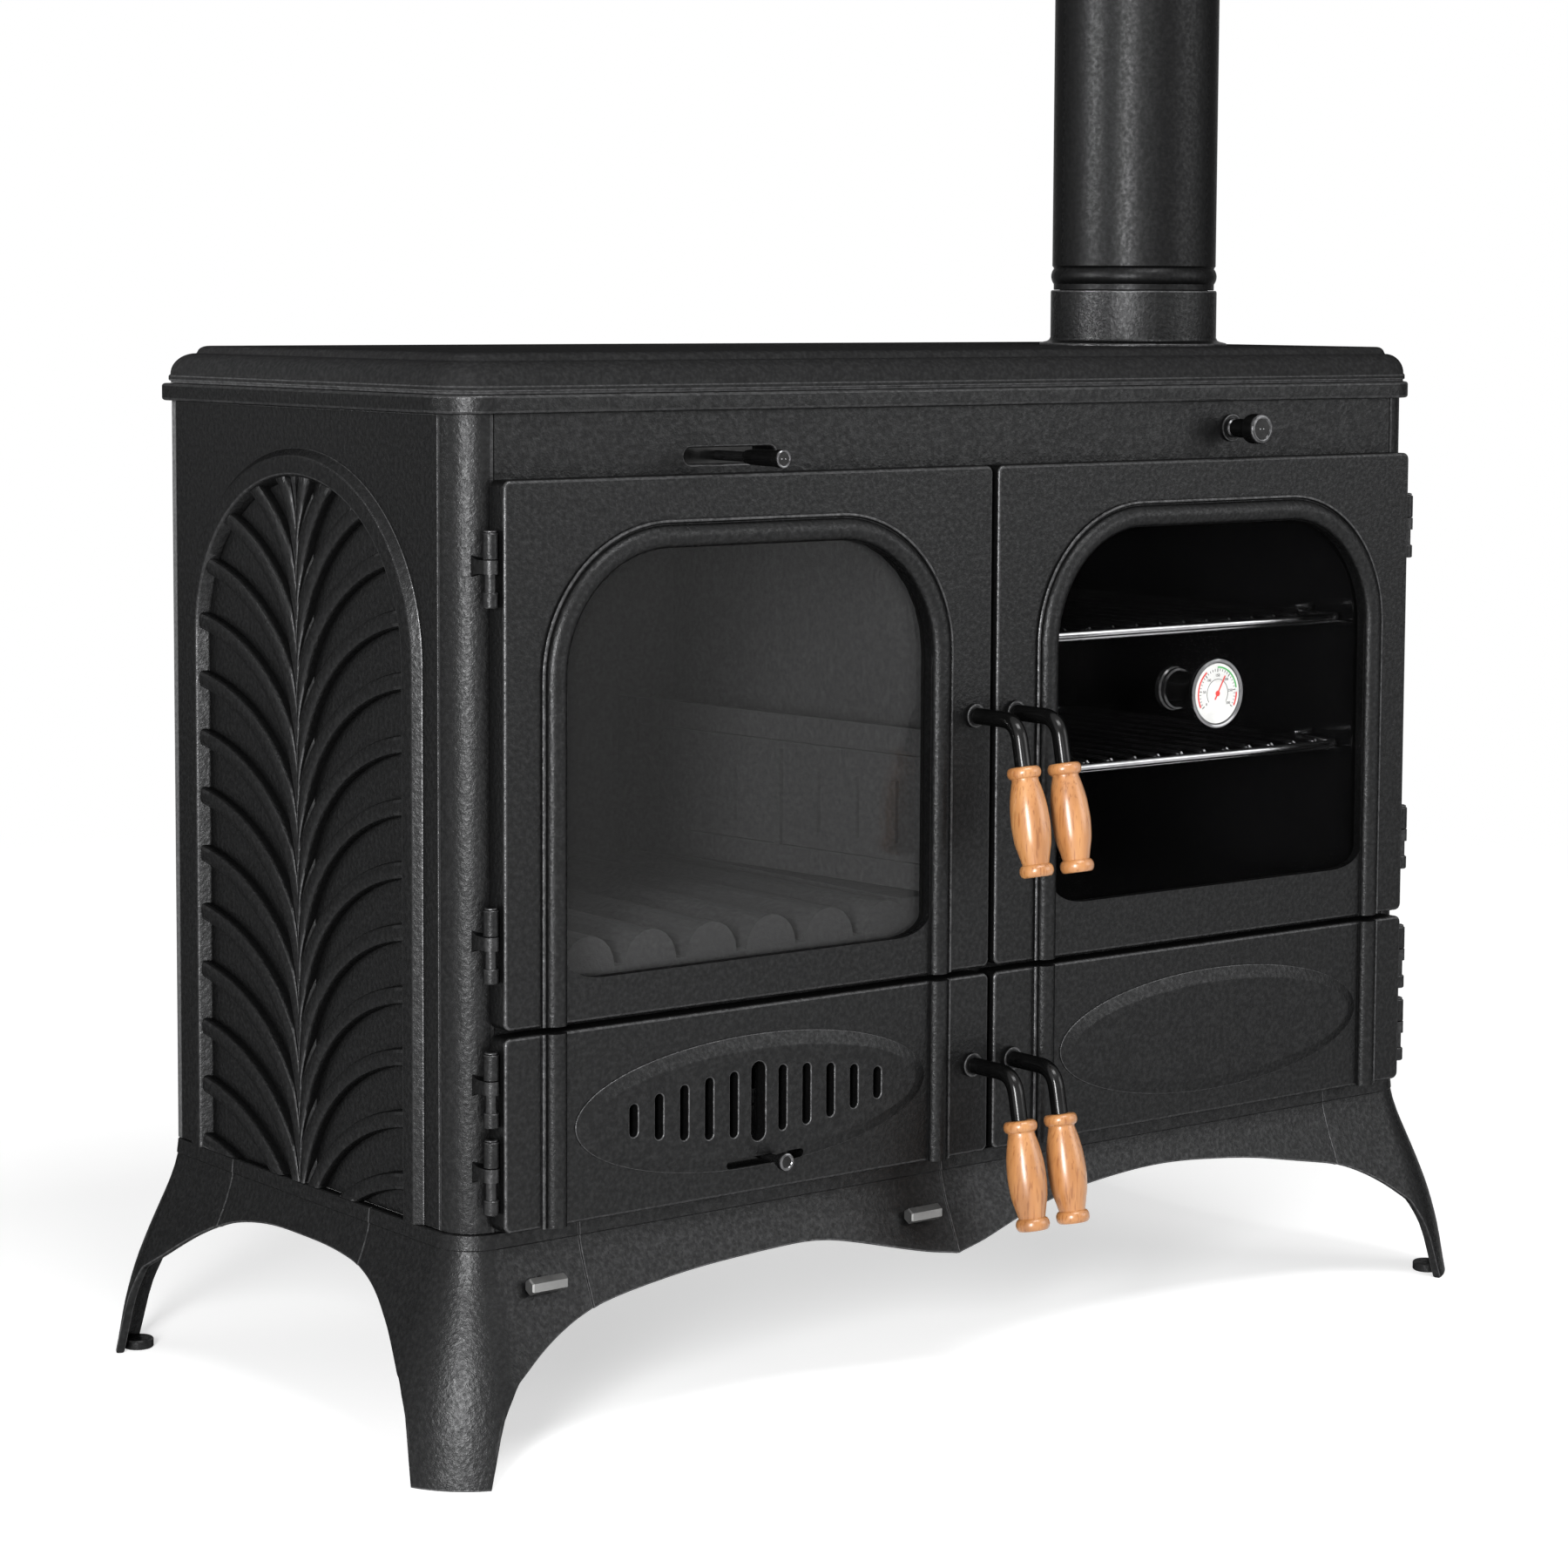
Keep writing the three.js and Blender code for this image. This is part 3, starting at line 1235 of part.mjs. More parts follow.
// The grate: round-backed bars from front to back on a slotted bed, and a flat shoulder on the
// oven side that carries the ribbed plate.
function fireGrate() {
  const bottom = grateSeat + fit;
  const bed = bottom + grateBed;
  const y1 = grateRear;
  const half = grateBarRadius;
  const lastX = grateFirstX + grateBarPitch * (grateBarCount - 1);
  let grate = join(
    block(grateFirstX - half - 6, lastX + half, grateFront, y1, bottom, bed),
    block(lastX + grateShoulder, partitionX - 2 * fit, grateFront, y1, bottom, grateCrown),
  );
  const roundBack = (x, halfWidth, low, rise) => {
    const shape = new THREE.Shape();
    shape.moveTo(x + halfWidth, low);
    shape.absellipse(x, bed, halfWidth, rise, 0, Math.PI);
    shape.lineTo(x - halfWidth, low);
    return shape;
  };
  const barPlaces = Array.from({ length: grateBarCount }, (_, i) => grateFirstX + grateBarPitch * i);
  const rise = grateCrown - bed;
  for (const x of barPlaces) {
    grate = grate.add(slab(roundBack(x, half, bed - 1, rise), grateFront, y1, { curveSegments: 5 }));
  }
  for (const x of barPlaces) {
    const hollow = roundBack(x, half - grateBarWall, bottom - 1, rise - grateBarWall);
    grate = grate.subtract(slab(hollow, grateFront + grateEndWall, y1 - grateEndWall, { curveSegments: 3 }));
  }
  for (const x of barPlaces.slice(0, -1)) {
    const slot = x + grateBarPitch / 2;
    grate = grate.subtract(block(
      slot - grateSlot / 2, slot + grateSlot / 2, grateFront + 50, y1 - 50, bottom - 1, bed + 20,
    ));
  }
  return grate;
}

function linerPlate(x0, x1, y0, y1) {
  return block(x0, x1, y0, y1, grateSeat + fit, linerTop);
}

// The ribbed plate on the oven side of the fire, standing on the grate. It is drawn with its front
// lower corner at the origin and turned towards the fire at the back.
function ribbedPlate() {
  const height = ribbedPlateTop - grateCrown - fit;
  const length = ribbedPlateLength;
  const face = -ribbedPlateRelief;
  const rail = ribbedPlateRail;
  const low = ribbedPlateFoot;
  const high = height - ribbedPlateHead;
  const middle = length / 2 - 10;
  const rear = length - 34;
  const slope = sideSlab(polygon([
    [rear - 52, low], [rear, high - 20], [rear, high], [rear - rail, high], [rear - rail, high - 18],
    [rear - 55, low + rail],
  ]), face, 1);
  let plate = join(
    block(0, linerThickness, 0, length, 0, height),
    block(face, 1, rail, rear, high, high + rail),
    block(face, 1, rail, rear - 50, low, low + rail),
    block(face, 1, middle, middle + rail, low, high + 1),
    slope,
  );
  const ribsBetween = (from, to, count) => {
    for (let i = 1; i <= count; i += 1) {
      const y = from + ((to - from) * i) / (count + 1);
      plate = plate.add(block(face, 1, y, y + rail, low + 22, high - 16));
    }
  };
  ribsBetween(rail, middle, 3);
  ribsBetween(middle, rear - rail, 2);
  return plate;
}

function ashPan() {
  const x0 = openingSide + 12;
  const x1 = barStart - 14;
  const y0 = castWall + 8;
  const y1 = bodyDepth - ashPanRearGap;
  const z0 = baseTop + fit;
  const z1 = z0 + ashPanHeight;
  const t = ashPanWall;
  const middle = (x0 + x1) / 2;
  const lip = block(middle - ashPanLip / 2, middle + ashPanLip / 2, y0 - 6, y0 + 1, z1 - 16, z1 - 12);
  return join(cut(
    block(x0, x1, y0, y1, z0, z1),
    block(x0 + t, x1 - t, y0 + t, y1 - t, z0 + t, z1 + 1),
  ), lip);
}

// ---------------------------------------------------------------- the oven
// The enamelled box, with runners for the racks and a notch that clears the door's latch cam.
function ovenBox() {
  const y0 = castWall + fit;
  let box = cut(
    block(ovenX0, ovenX1, y0, ovenBack, ovenFloor - 2 * ovenWall, ovenTop),
    block(ovenX0 + ovenWall, ovenX1 - ovenWall, y0 - 1, ovenBack - ovenWall, ovenFloor, ovenTop - ovenWall),
  );
  box = box.subtract(block(
    ovenX0 - 1, ovenX0 + ovenWall + 1, y0 - 1, camY + camThickness + 1.5,
    upperHandleHeight - camWidth / 2 - 2, upperHandleHeight + camLength + 2,
  ));
  for (const z of rackHeights) {
    const top = z - rackRod - fit;
    box = join(
      box,
      block(ovenX0 + 1, ovenX0 + ovenWall + runnerDepth, y0 + 12, ovenBack - 12, top - 4, top),
      block(ovenX1 - ovenWall - runnerDepth, ovenX1 - 1, y0 + 12, ovenBack - 12, top - 4, top),
    );
  }
  return box;
}

// A wire rack: two side bars, a front and a back bar, a stay and rungs from front to back.
function ovenRack(z) {
  const x0 = ovenX0 + ovenWall + rackClearance;
  const x1 = ovenX1 - ovenWall - rackClearance;
  const y0 = castWall + rackFront;
  const y1 = ovenBack - ovenWall - rackRear;
  const r = rackRod;
  const bars = [
    bar(vec(x0 + r, y0, z), vec(x0 + r, y1, z), r, 6),
    bar(vec(x1 - r, y0, z), vec(x1 - r, y1, z), r, 6),
    bar(vec(x0 + 1, y0, z), vec(x1 - 1, y0, z), r, 6),
    bar(vec(x0 + 1, y1 - r, z), vec(x1 - 1, y1 - r, z), r, 6),
    bar(vec(x0 + 1, y0 + rackStay, z), vec(x1 - 1, y0 + rackStay, z), r, 6),
  ];
  for (let i = 1; i <= rackRungs; i += 1) {
    const x = x0 + ((x1 - x0) * i) / (rackRungs + 1);
    bars.push(bar(vec(x, y0 + rackStay - 2, z + 4), vec(x, y1 - 2, z + 4), r * 0.72, 4));
  }
  return join(...bars);
}

// ---------------------------------------------------------------- assembly
const body = new THREE.Group();

part('front_frame', frontFrame(), castIron, body);
part('side_panel_left', sidePanel(false), castIron, body);
part('side_panel_right', sidePanel(true), castIron, body);
part('back_panel', backPanel(), castPlate, body);
part('cooktop', cooktop(), castIron, body);
part('flue_collar', flueCollar(), castIron, body);
part('flue_pipe', fluePipe(), stovePipe, body);
part('base_plate', basePlate(), castPlate, body);

part('leg_front_left', leg(false, false).add(pegLug(pegCentres[0])), castIron, body);
part('leg_front_right', leg(true, false), castIron, body);
part('leg_rear_left', leg(false, true), castIron, body);
part('leg_rear_right', leg(true, true), castIron, body);

const seam = fit / 2;
const apronEnd = bodyDepth - rearLegSpan - seam * 2;
const apronLeft = splayedWall(wallColumns(frontLegFront + seam * 2, apronSeamX - seam, 12, frontColumn), 5);
part('apron_front_left', apronLeft.add(pegLug(pegCentres[1])), castIron, body);
part('apron_front_right', splayedWall(
  wallColumns(apronSeamX + seam, bodyWidth - frontLegFront - seam * 2, 14, frontColumn), 5,
), castIron, body);
part('apron_left', splayedWall(
  wallColumns(frontLegSide + seam * 2, apronEnd, 8, sideColumn(false)), 5,
), castIron, body);
part('apron_right', splayedWall(
  wallColumns(frontLegSide + seam * 2, apronEnd, 8, sideColumn(true)), 5,
), castIron, body);
part('apron_rear', splayedWall(
  wallColumns(rearLegSpan + seam * 2, bodyWidth - rearLegSpan - seam * 2, 12, rearColumn), 4,
), castIron, body);
part('ash_lip_peg_left', peg(pegCentres[0]), zinc, body);
part('ash_lip_peg_right', peg(pegCentres[1]), zinc, body);

part('centre_partition', block(
  partitionX, partitionX + partitionThickness, castWall + fit, bodyDepth - castWall - fit,
  baseTop + fit, partitionTop,
), castPlate, body);
part('hearth_plate', hearth(), castPlate, body);
part('fire_grate', fireGrate(), castIron, body);
part('firebox_side_plate', linerPlate(
  castWall + fit, castWall + fit + linerThickness,
  panelStart, rearLinerFront - fit,
), castPlate, body);
part('firebox_rear_plate', linerPlate(
  castWall + fit, partitionX - fit, rearLinerFront, panelEnd,
), castPlate, body);
const ribbed = part('firebox_ribbed_plate', ribbedPlate(), castIron, body);
ribbed.position.set(ribbedPlateX, ribbedPlateFront, grateCrown + fit);
ribbed.rotation.z = ribbedPlateTurn;
part('ash_pan', ashPan(), castPlate, body);
part('oven_box', ovenBox(), enamel, body);
part('oven_rack_lower', ovenRack(rackHeights[0]), chrome, body);
part('oven_rack_upper', ovenRack(rackHeights[1]), chrome, body);

const fireFit = [doorMargin, leftDoorEnd, true];
const ovenFit = [rightDoorStart, rightDoorEnd, false];

const fireDoor = new THREE.Group();
part('fire_door', upperDoor(...fireFit, leftHandleX, fireWindowBottom), castIron, fireDoor);
part('fire_door_glass', doorGlass(...fireFit, fireWindowBottom), smokedGlass, fireDoor);
part('fire_glass_retainer', glassRetainer(...fireFit, fireWindowBottom), glossBlack, fireDoor);
part('fire_door_seal', doorSeal(doorMargin, leftDoorEnd), rope, fireDoor);
body.add(fireDoor);

const ovenDoor = new THREE.Group();
part('oven_door', upperDoor(...ovenFit, rightHandleX, ovenWindowBottom), castIron, ovenDoor);
part('oven_door_glass', doorGlass(...ovenFit, ovenWindowBottom), clearGlass, ovenDoor);
part('oven_glass_retainer', glassRetainer(...ovenFit, ovenWindowBottom), glossBlack, ovenDoor);
part('oven_door_seal', doorSeal(rightDoorStart, rightDoorEnd), rope, ovenDoor);
part('oven_thermometer', thermometerBody(), chrome, ovenDoor);
part('thermometer_dial', thermometerDial(), dialWhite, ovenDoor);
body.add(ovenDoor);

part('ash_door', ashDoor(), castIron, body);
part('air_register', airRegister(), glossBlack, body);
part('storage_door', lowerDoor(...ovenFit, rightHandleX), castIron, body);
part('air_slider', airSlider(), glossBlack, body);
part('flue_damper', flueDamper(), glossBlack, body);

const pinSpan = lugHeight / 2 + knucklePlay;
const pinBody = hingePin(-pinSpan - knuckleBelow, pinSpan + knuckleAbove + fit);
const hinges = [
  ['fire_door', leftAxisX, upperHingeHeights], ['oven_door', rightAxisX, upperHingeHeights],
  ['ash_door', leftAxisX, lowerHingeHeights], ['storage_door', rightAxisX, lowerHingeHeights],
];
for (const [door, x, heights] of hinges) {
  heights.forEach((z, i) => {
    const pin = part(`${door}_hinge_pin_${i === 0 ? 'lower' : 'upper'}`, pinBody, zinc, body);
    pin.position.set(x, hingeAxisY, z);
  });
}

const leverBody = lever();
const gripBody = grip();
const hang = gripPlace();
const handles = [
  ['fire_door', leftHandleX, upperHandleHeight], ['oven_door', rightHandleX, upperHandleHeight],
  ['ash_door', leftHandleX, lowerHandleHeight], ['storage_door', rightHandleX, lowerHandleHeight],
];
for (const [door, x, z] of handles) {
  const handle = new THREE.Group();
  part(`${door}_lever`, leverBody, glossBlack, handle);
  const wood = part(`${door}_grip`, gripBody, beech, handle);
  wood.position.set(0, hang.y - fit * Math.sin(leverLean), hang.z - fit * Math.cos(leverLean));
  wood.rotation.x = -leverLean;
  handle.position.set(x, 0, z);
  body.add(handle);
}

// The origin is on the floor, at the middle of the whole cooker's plan.
body.updateMatrixWorld(true);
const reach = new THREE.Box3().setFromObject(body, true);
body.position.set(-(reach.min.x + reach.max.x) / 2, -(reach.min.y + reach.max.y) / 2, 0);

const cooker = new THREE.Group();
cooker.add(body);
cooker.updateMatrixWorld(true);

export default cooker;
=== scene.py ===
"""The looks of a cast iron range cooker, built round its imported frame.

Sizes and places are in millimetres in the cooker's own frame: X runs right from the body's left
side, Y runs back from the front casting's face, and Z runs up from the floor. settle() turns a
finished piece into the row frame's metres.
"""

import json
from collections import namedtuple
from math import acos, atan2, cos, hypot, pi, radians, sin, sqrt

import bmesh
import bpy
from mathutils import Matrix, Vector
from mathutils.geometry import tessellate_polygon

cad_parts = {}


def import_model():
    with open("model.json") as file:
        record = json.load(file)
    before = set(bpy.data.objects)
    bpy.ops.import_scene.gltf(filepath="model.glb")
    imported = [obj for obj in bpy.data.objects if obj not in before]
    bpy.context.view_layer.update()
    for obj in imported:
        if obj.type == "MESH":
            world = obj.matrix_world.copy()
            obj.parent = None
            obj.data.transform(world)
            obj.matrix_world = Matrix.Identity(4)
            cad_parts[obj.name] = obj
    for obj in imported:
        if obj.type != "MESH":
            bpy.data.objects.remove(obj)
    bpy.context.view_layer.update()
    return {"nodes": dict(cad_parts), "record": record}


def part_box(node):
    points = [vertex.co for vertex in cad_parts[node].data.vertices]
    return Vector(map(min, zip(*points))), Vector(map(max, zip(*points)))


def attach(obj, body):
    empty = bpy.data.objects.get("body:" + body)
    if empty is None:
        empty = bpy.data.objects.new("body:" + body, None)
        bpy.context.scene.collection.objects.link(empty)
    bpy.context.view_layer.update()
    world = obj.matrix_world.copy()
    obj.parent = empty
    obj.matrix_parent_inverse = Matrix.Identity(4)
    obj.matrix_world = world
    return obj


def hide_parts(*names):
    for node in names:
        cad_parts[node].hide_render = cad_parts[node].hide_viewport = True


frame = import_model()
NODES = frame["nodes"]
MM = 0.001

# ------------------------------------------------------------------ sizes, in millimetres
WIDTH = 1030
DEPTH = 437
BOTTOM = 183  # underside of the body, on the legs
RIM_TOP = 820
RIM_BOTTOM = 805.5
RIM_OVER = 7.5
RIM_BACK = 3
RIM_INSET = 20
RIM_SEAM = 38
RIM_EASE = 2.4
PILLAR = 30
WALL = 6
FIT = 0.3
PANEL_START = PILLAR + FIT
PANEL_END = DEPTH - WALL - FIT

Column = namedtuple("Column", "start end handle outward")  # outward points to the hinges
Row = namedtuple("Row", "low high handle hinges")
LEFT = Column(26, 508, 489, -1)
RIGHT = Column(514, 1004, 533, 1)
UPPER = Row(341, 756.5, 551.5, (408, 692))
LOWER = Row(185.5, 335.5, 260.5, (231, 298))
DOORS = {
    "fire_door": (LEFT, UPPER), "oven_door": (RIGHT, UPPER),
    "ash_door": (LEFT, LOWER), "storage_door": (RIGHT, LOWER),
}
DOOR_FACE = -21
DOOR_SKIN_BACK = -13
DOOR_BACK = -0.8
DOOR_RETURN = 6
DOOR_CORNER = 6
DOOR_EASE = 2.4
BEAD_WIDTH = 22
BEAD_HEIGHT = 8
BEAD_HINGE_INSET = 33
BEAD_HANDLE_INSET = 43
BEAD_TOP = 723
BEAD_ARCH = 118
FIRE_WINDOW_LOW = 373.5
OVEN_WINDOW_LOW = 385
WINDOW_CORNER = (36, 18)

HINGE_OFFSET = 6.5
HINGE_Y = -12
KNUCKLE = 6
KNUCKLE_EASE = 0.8
KNUCKLE_NECK = (4.4, 13.5)  # radius and length of the thinner barrel under each lug
KNUCKLE_ABOVE = 20
KNUCKLE_BELOW = 25
LUG_HALF = 5.2
KNUCKLE_PLAY = 0.4
LUG_GAP = LUG_HALF + KNUCKLE_PLAY

SPINDLE = 5
LEVER_RADIUS = 6.8
LEVER_REACH = 54
LEVER_BEND = 17
LEVER_LEAN = radians(12)
GRIP_DROP = 36 / cos(LEVER_LEAN)  # from the lever's corner down to the grip, along the lever
GRIP_LENGTH = 90

LID_LIP = 822  # underside of the cooktop's lip
LID_TOP = 851
FLUE = (872, 203)
FLUE_BORE = 66
PIPE_RADIUS = 75
PIPE_TOP = 1351

ORIGIN = Vector((
    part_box("back_panel")[0].x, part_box("side_panel_left")[0].y - PANEL_START * MM, 0.0,
))


def linked(name, data):
    """A new object of that data, in the scene."""
    made = bpy.data.objects.new(name, data)
    bpy.context.scene.collection.objects.link(made)
    return made


def baked(made):
    """The object's mesh, with its modifiers applied."""
    return bpy.data.meshes.new_from_object(made.evaluated_get(bpy.context.evaluated_depsgraph_get()))


# ------------------------------------------------------------------ the camera
CAMERA_PLACE = (-1551.8, -2383.9, 895.2)
CAMERA_YAW = 0.66222
CAMERA_PITCH = 0.08688
CAMERA_ROLL = 0.00493
CAMERA_LENS = 87.54
SENSOR = 36.0
PHOTO_SHIFT = -0.1


def camera():
    """The camera at the photograph's place, with its angles in radians."""
    data = bpy.data.cameras.new("camera")
    data.lens = CAMERA_LENS
    data.sensor_width = SENSOR
    data.shift_y = PHOTO_SHIFT
    data.clip_start = 0.05
    data.clip_end = 60.0
    level = cos(CAMERA_PITCH)
    ahead = Vector((sin(CAMERA_YAW) * level, cos(CAMERA_YAW) * level, -sin(CAMERA_PITCH)))
    right = Vector((cos(CAMERA_YAW), -sin(CAMERA_YAW), 0.0))
    up = right.cross(ahead)
    rolled_right = right * cos(CAMERA_ROLL) + up * sin(CAMERA_ROLL)
    rolled_up = up * cos(CAMERA_ROLL) - right * sin(CAMERA_ROLL)
    basis = Matrix((rolled_right, rolled_up, -ahead)).transposed().to_4x4()
    basis.translation = ORIGIN + Vector(CAMERA_PLACE) * MM
    eye = linked("camera", data)
    eye.matrix_world = basis
    bpy.context.scene.camera = eye


# ------------------------------------------------------------------ materials
def tune(node, **values):
    """Sets a node's settings, or its sockets by name."""
    for key, value in values.items():
        if hasattr(node, key):
            setattr(node, key, value)
        else:
            node.inputs[key.replace("_", " ")].default_value = value
    return node


def add(made, kind, **values):
    return tune(made.node_tree.nodes.new(kind), **values)


def wire(made, source, output, target, socket):
    made.node_tree.links.new(source.outputs[output], target.inputs[socket])


def shader(name, color, roughness, metallic=0.0, specular=0.5):
    """A node material with one Principled shader, and the shader's node."""
    made = bpy.data.materials.new(name)
    made.use_nodes = True
    surface = tune(made.node_tree.nodes["Principled BSDF"], Base_Color=(*color, 1.0), Roughness=roughness,
                   Metallic=metallic, Specular_IOR_Level=specular)
    return made, surface


def noise(made, scale, detail=3.0, roughness=0.5, stretch=None):
    """Noise over the object's own space, with scale in features per metre."""
    where = add(made, "ShaderNodeTexCoord")
    node = add(made, "ShaderNodeTexNoise", Scale=scale, Detail=detail, Roughness=roughness)
    if stretch:
        mapped = add(made, "ShaderNodeMapping", Scale=stretch)
        wire(made, where, "Object", mapped, "Vector")
        wire(made, mapped, "Vector", node, "Vector")
    else:
        wire(made, where, "Object", node, "Vector")
    return node


def spread(made, source, output, low, high, start=0.3, end=0.7):
    """Maps a value from start..end onto low..high."""
    node = add(made, "ShaderNodeMapRange", From_Min=start, From_Max=end, To_Min=low, To_Max=high)
    wire(made, source, output, node, "Value")
    return node


def combine(made, operation, *pair):
    """A math node over two (node, output) pairs."""
    node = add(made, "ShaderNodeMath", operation=operation)
    for socket, (source, output) in enumerate(pair):
        wire(made, source, output, node, socket)
    return node


def ramp(made, field, stops):
    """A colour ramp over noise, from (position, colour) stops."""
    node = add(made, "ShaderNodeValToRGB")
    elements = node.color_ramp.elements
    while len(elements) < len(stops):
        elements.new(0.5)
    for element, (position, color) in zip(elements, stops):
        element.position = position
        element.color = (*color, 1.0)
    wire(made, field, "Fac", node, "Fac")
    return node


def roughen(made, surface, field, low, high):
    """Roughness that drifts between two values with the noise."""
    wire(made, spread(made, field, "Fac", low, high), "Result", surface, "Roughness")


def bump(made, surface, *layers):
    """Bump from (noise, strength, depth in mm) layers, one on another."""
    last = None
    for field, strength, depth in layers:
        node = add(made, "ShaderNodeBump", Strength=strength, Distance=depth * MM)
        wire(made, field, "Fac", node, "Height")
        if last:
            wire(made, last, "Normal", node, "Normal")
        last = node
    wire(made, last, "Normal", surface, "Normal")


MIX_FIRST, MIX_SECOND, MIX_RESULT = 6, 7, 2  # the colour sockets of a mix node


def paint_wear_and_highlight(made, surface, tones, bare_and_highlight):
    """Patchy lighter metal wherever the mesh is marked, over the tones of the finish: polish rubbing off, and
    a painted highlight along the edges.
    """
    worn_and_highlit = add(made, "ShaderNodeAttribute", attribute_name="wear_and_highlight")
    patchy = spread(made, noise(made, 240, 3.0, 0.6), "Fac", 0.2, 1.0)
    rubbed_and_highlit = combine(made, "MULTIPLY", (worn_and_highlit, "Fac"), (patchy, "Result"))
    mixed = add(made, "ShaderNodeMix", data_type="RGBA")
    mixed.inputs[MIX_SECOND].default_value = (*bare_and_highlight, 1.0)
    wire(made, rubbed_and_highlit, 0, mixed, 0)
    wire(made, tones, "Color", mixed, MIX_FIRST)
    wire(made, mixed, MIX_RESULT, surface, "Base Color")


IRON_TONES = [
    (0.34, (0.0178, 0.0179, 0.0182)), (0.5, (0.022, 0.0222, 0.0225)), (0.66, (0.029, 0.0292, 0.0296)),
]
# the colour where the polish is gone, which also paints a highlight along the marked edges
IRON_BARE_AND_HIGHLIGHT = (0.1, 0.1, 0.102)


def cast_iron(name, tone, rough, depth=1.0, metal=0.9, specular=0.2):
    """Sand-cast iron under graphite polish: charcoal, pebbled, and lighter along its edges, where polish rubs
    off and where a highlight is painted.
    """
    made, surface = shader(name, (0.03, 0.03, 0.031), rough, metal, specular)
    tune(surface, Specular_Tint=(0.35, 0.35, 0.35, 1.0))
    pebbles = noise(made, 270, 3.0, 0.55)
    tones = ramp(made, pebbles, [(stop, [c * tone for c in shade]) for stop, shade in IRON_TONES])
    paint_wear_and_highlight(made, surface, tones, [c * tone for c in IRON_BARE_AND_HIGHLIGHT])
    roughen(made, surface, pebbles, rough + 0.05, rough - 0.05)
    bump(made, surface, (pebbles, 1.0, 0.5 * depth), (noise(made, 900, 2.0), 0.8, 0.2 * depth))
    return made


def gloss_black(name, tone, roughness):
    """Stoved black paint: nearly black, with lamps mirrored sharply and little glare at its sides."""
    made, surface = shader(name, (tone, tone, tone * 1.05), roughness, 0.9, 0.2)
    tune(surface, Specular_Tint=(0.3, 0.3, 0.3, 1.0))
    tones = ramp(made, noise(made, 60, 4.0, 0.6), [(0.35, (tone * 0.85,) * 3), (0.65, (tone * 1.15,) * 3)])
    # lighter at the marked tight edges: paint rubbing off, and a painted highlight ring round the knobs' rims
    paint_wear_and_highlight(made, surface, tones, (0.16, 0.16, 0.165))
    roughen(made, surface, noise(made, 120), roughness * 0.85, roughness * 1.3)
    bump(made, surface, (noise(made, 350, 2.0, 0.55), 0.12, 0.15))
    return made


def plain(name, color, roughness, metallic=0.0, relief=(600, 0.1, 0.1, 2.0)):
    """One colour that drifts a little, over relief of (noise scale, strength, depth in mm, detail)."""
    made, surface = shader(name, color, roughness, metallic)
    dark = [c * 0.85 for c in color]
    light = [min(c * 1.12, 1.0) for c in color]
    tones = ramp(made, noise(made, 30, 4.0, 0.6), [(0.35, dark), (0.65, light)])
    wire(made, tones, "Color", surface, "Base Color")
    roughen(made, surface, noise(made, 70), roughness * 0.85, roughness * 1.2)
    scale, strength, depth, detail = relief
    bump(made, surface, (noise(made, scale, detail, 0.55), strength, depth))
    return made


def wood(name):
    """Varnished beech: long fine grain down the grip, with short dark flecks."""
    made, surface = shader(name, (0.6, 0.3, 0.1), 0.3)
    tune(surface, Coat_Weight=0.3, Coat_Roughness=0.25)
    tones = ramp(made, noise(made, 70, 3.0, 0.55, (1.0, 1.0, 0.12)), [
        (0.3, (0.3, 0.125, 0.04)), (0.5, (0.4, 0.175, 0.06)), (0.7, (0.48, 0.23, 0.085)),
    ])
    fine = noise(made, 520, 2.0, 0.5, (1.0, 1.0, 0.09))
    flecks = ramp(made, fine, [(0.34, (0.6, 0.48, 0.38)), (0.44, (1.0, 1.0, 1.0))])
    mixed = add(made, "ShaderNodeMix", data_type="RGBA", blend_type="MULTIPLY", Factor=0.7)
    wire(made, tones, "Color", mixed, MIX_FIRST)
    wire(made, flecks, "Color", mixed, MIX_SECOND)
    wire(made, mixed, MIX_RESULT, surface, "Base Color")
    bump(made, surface, (fine, 0.15, 0.15))
    return made


def glass(name, tint, cover, specular):
    """A pane as a thin tinted sheet that lets the inside show."""
    roughness = 0.03
    made, surface = shader(name, tint, roughness, 0.0, specular)
    tune(surface, Alpha=cover)
    roughen(made, surface, noise(made, 9, 2.0), roughness, roughness + 0.04)
    return made


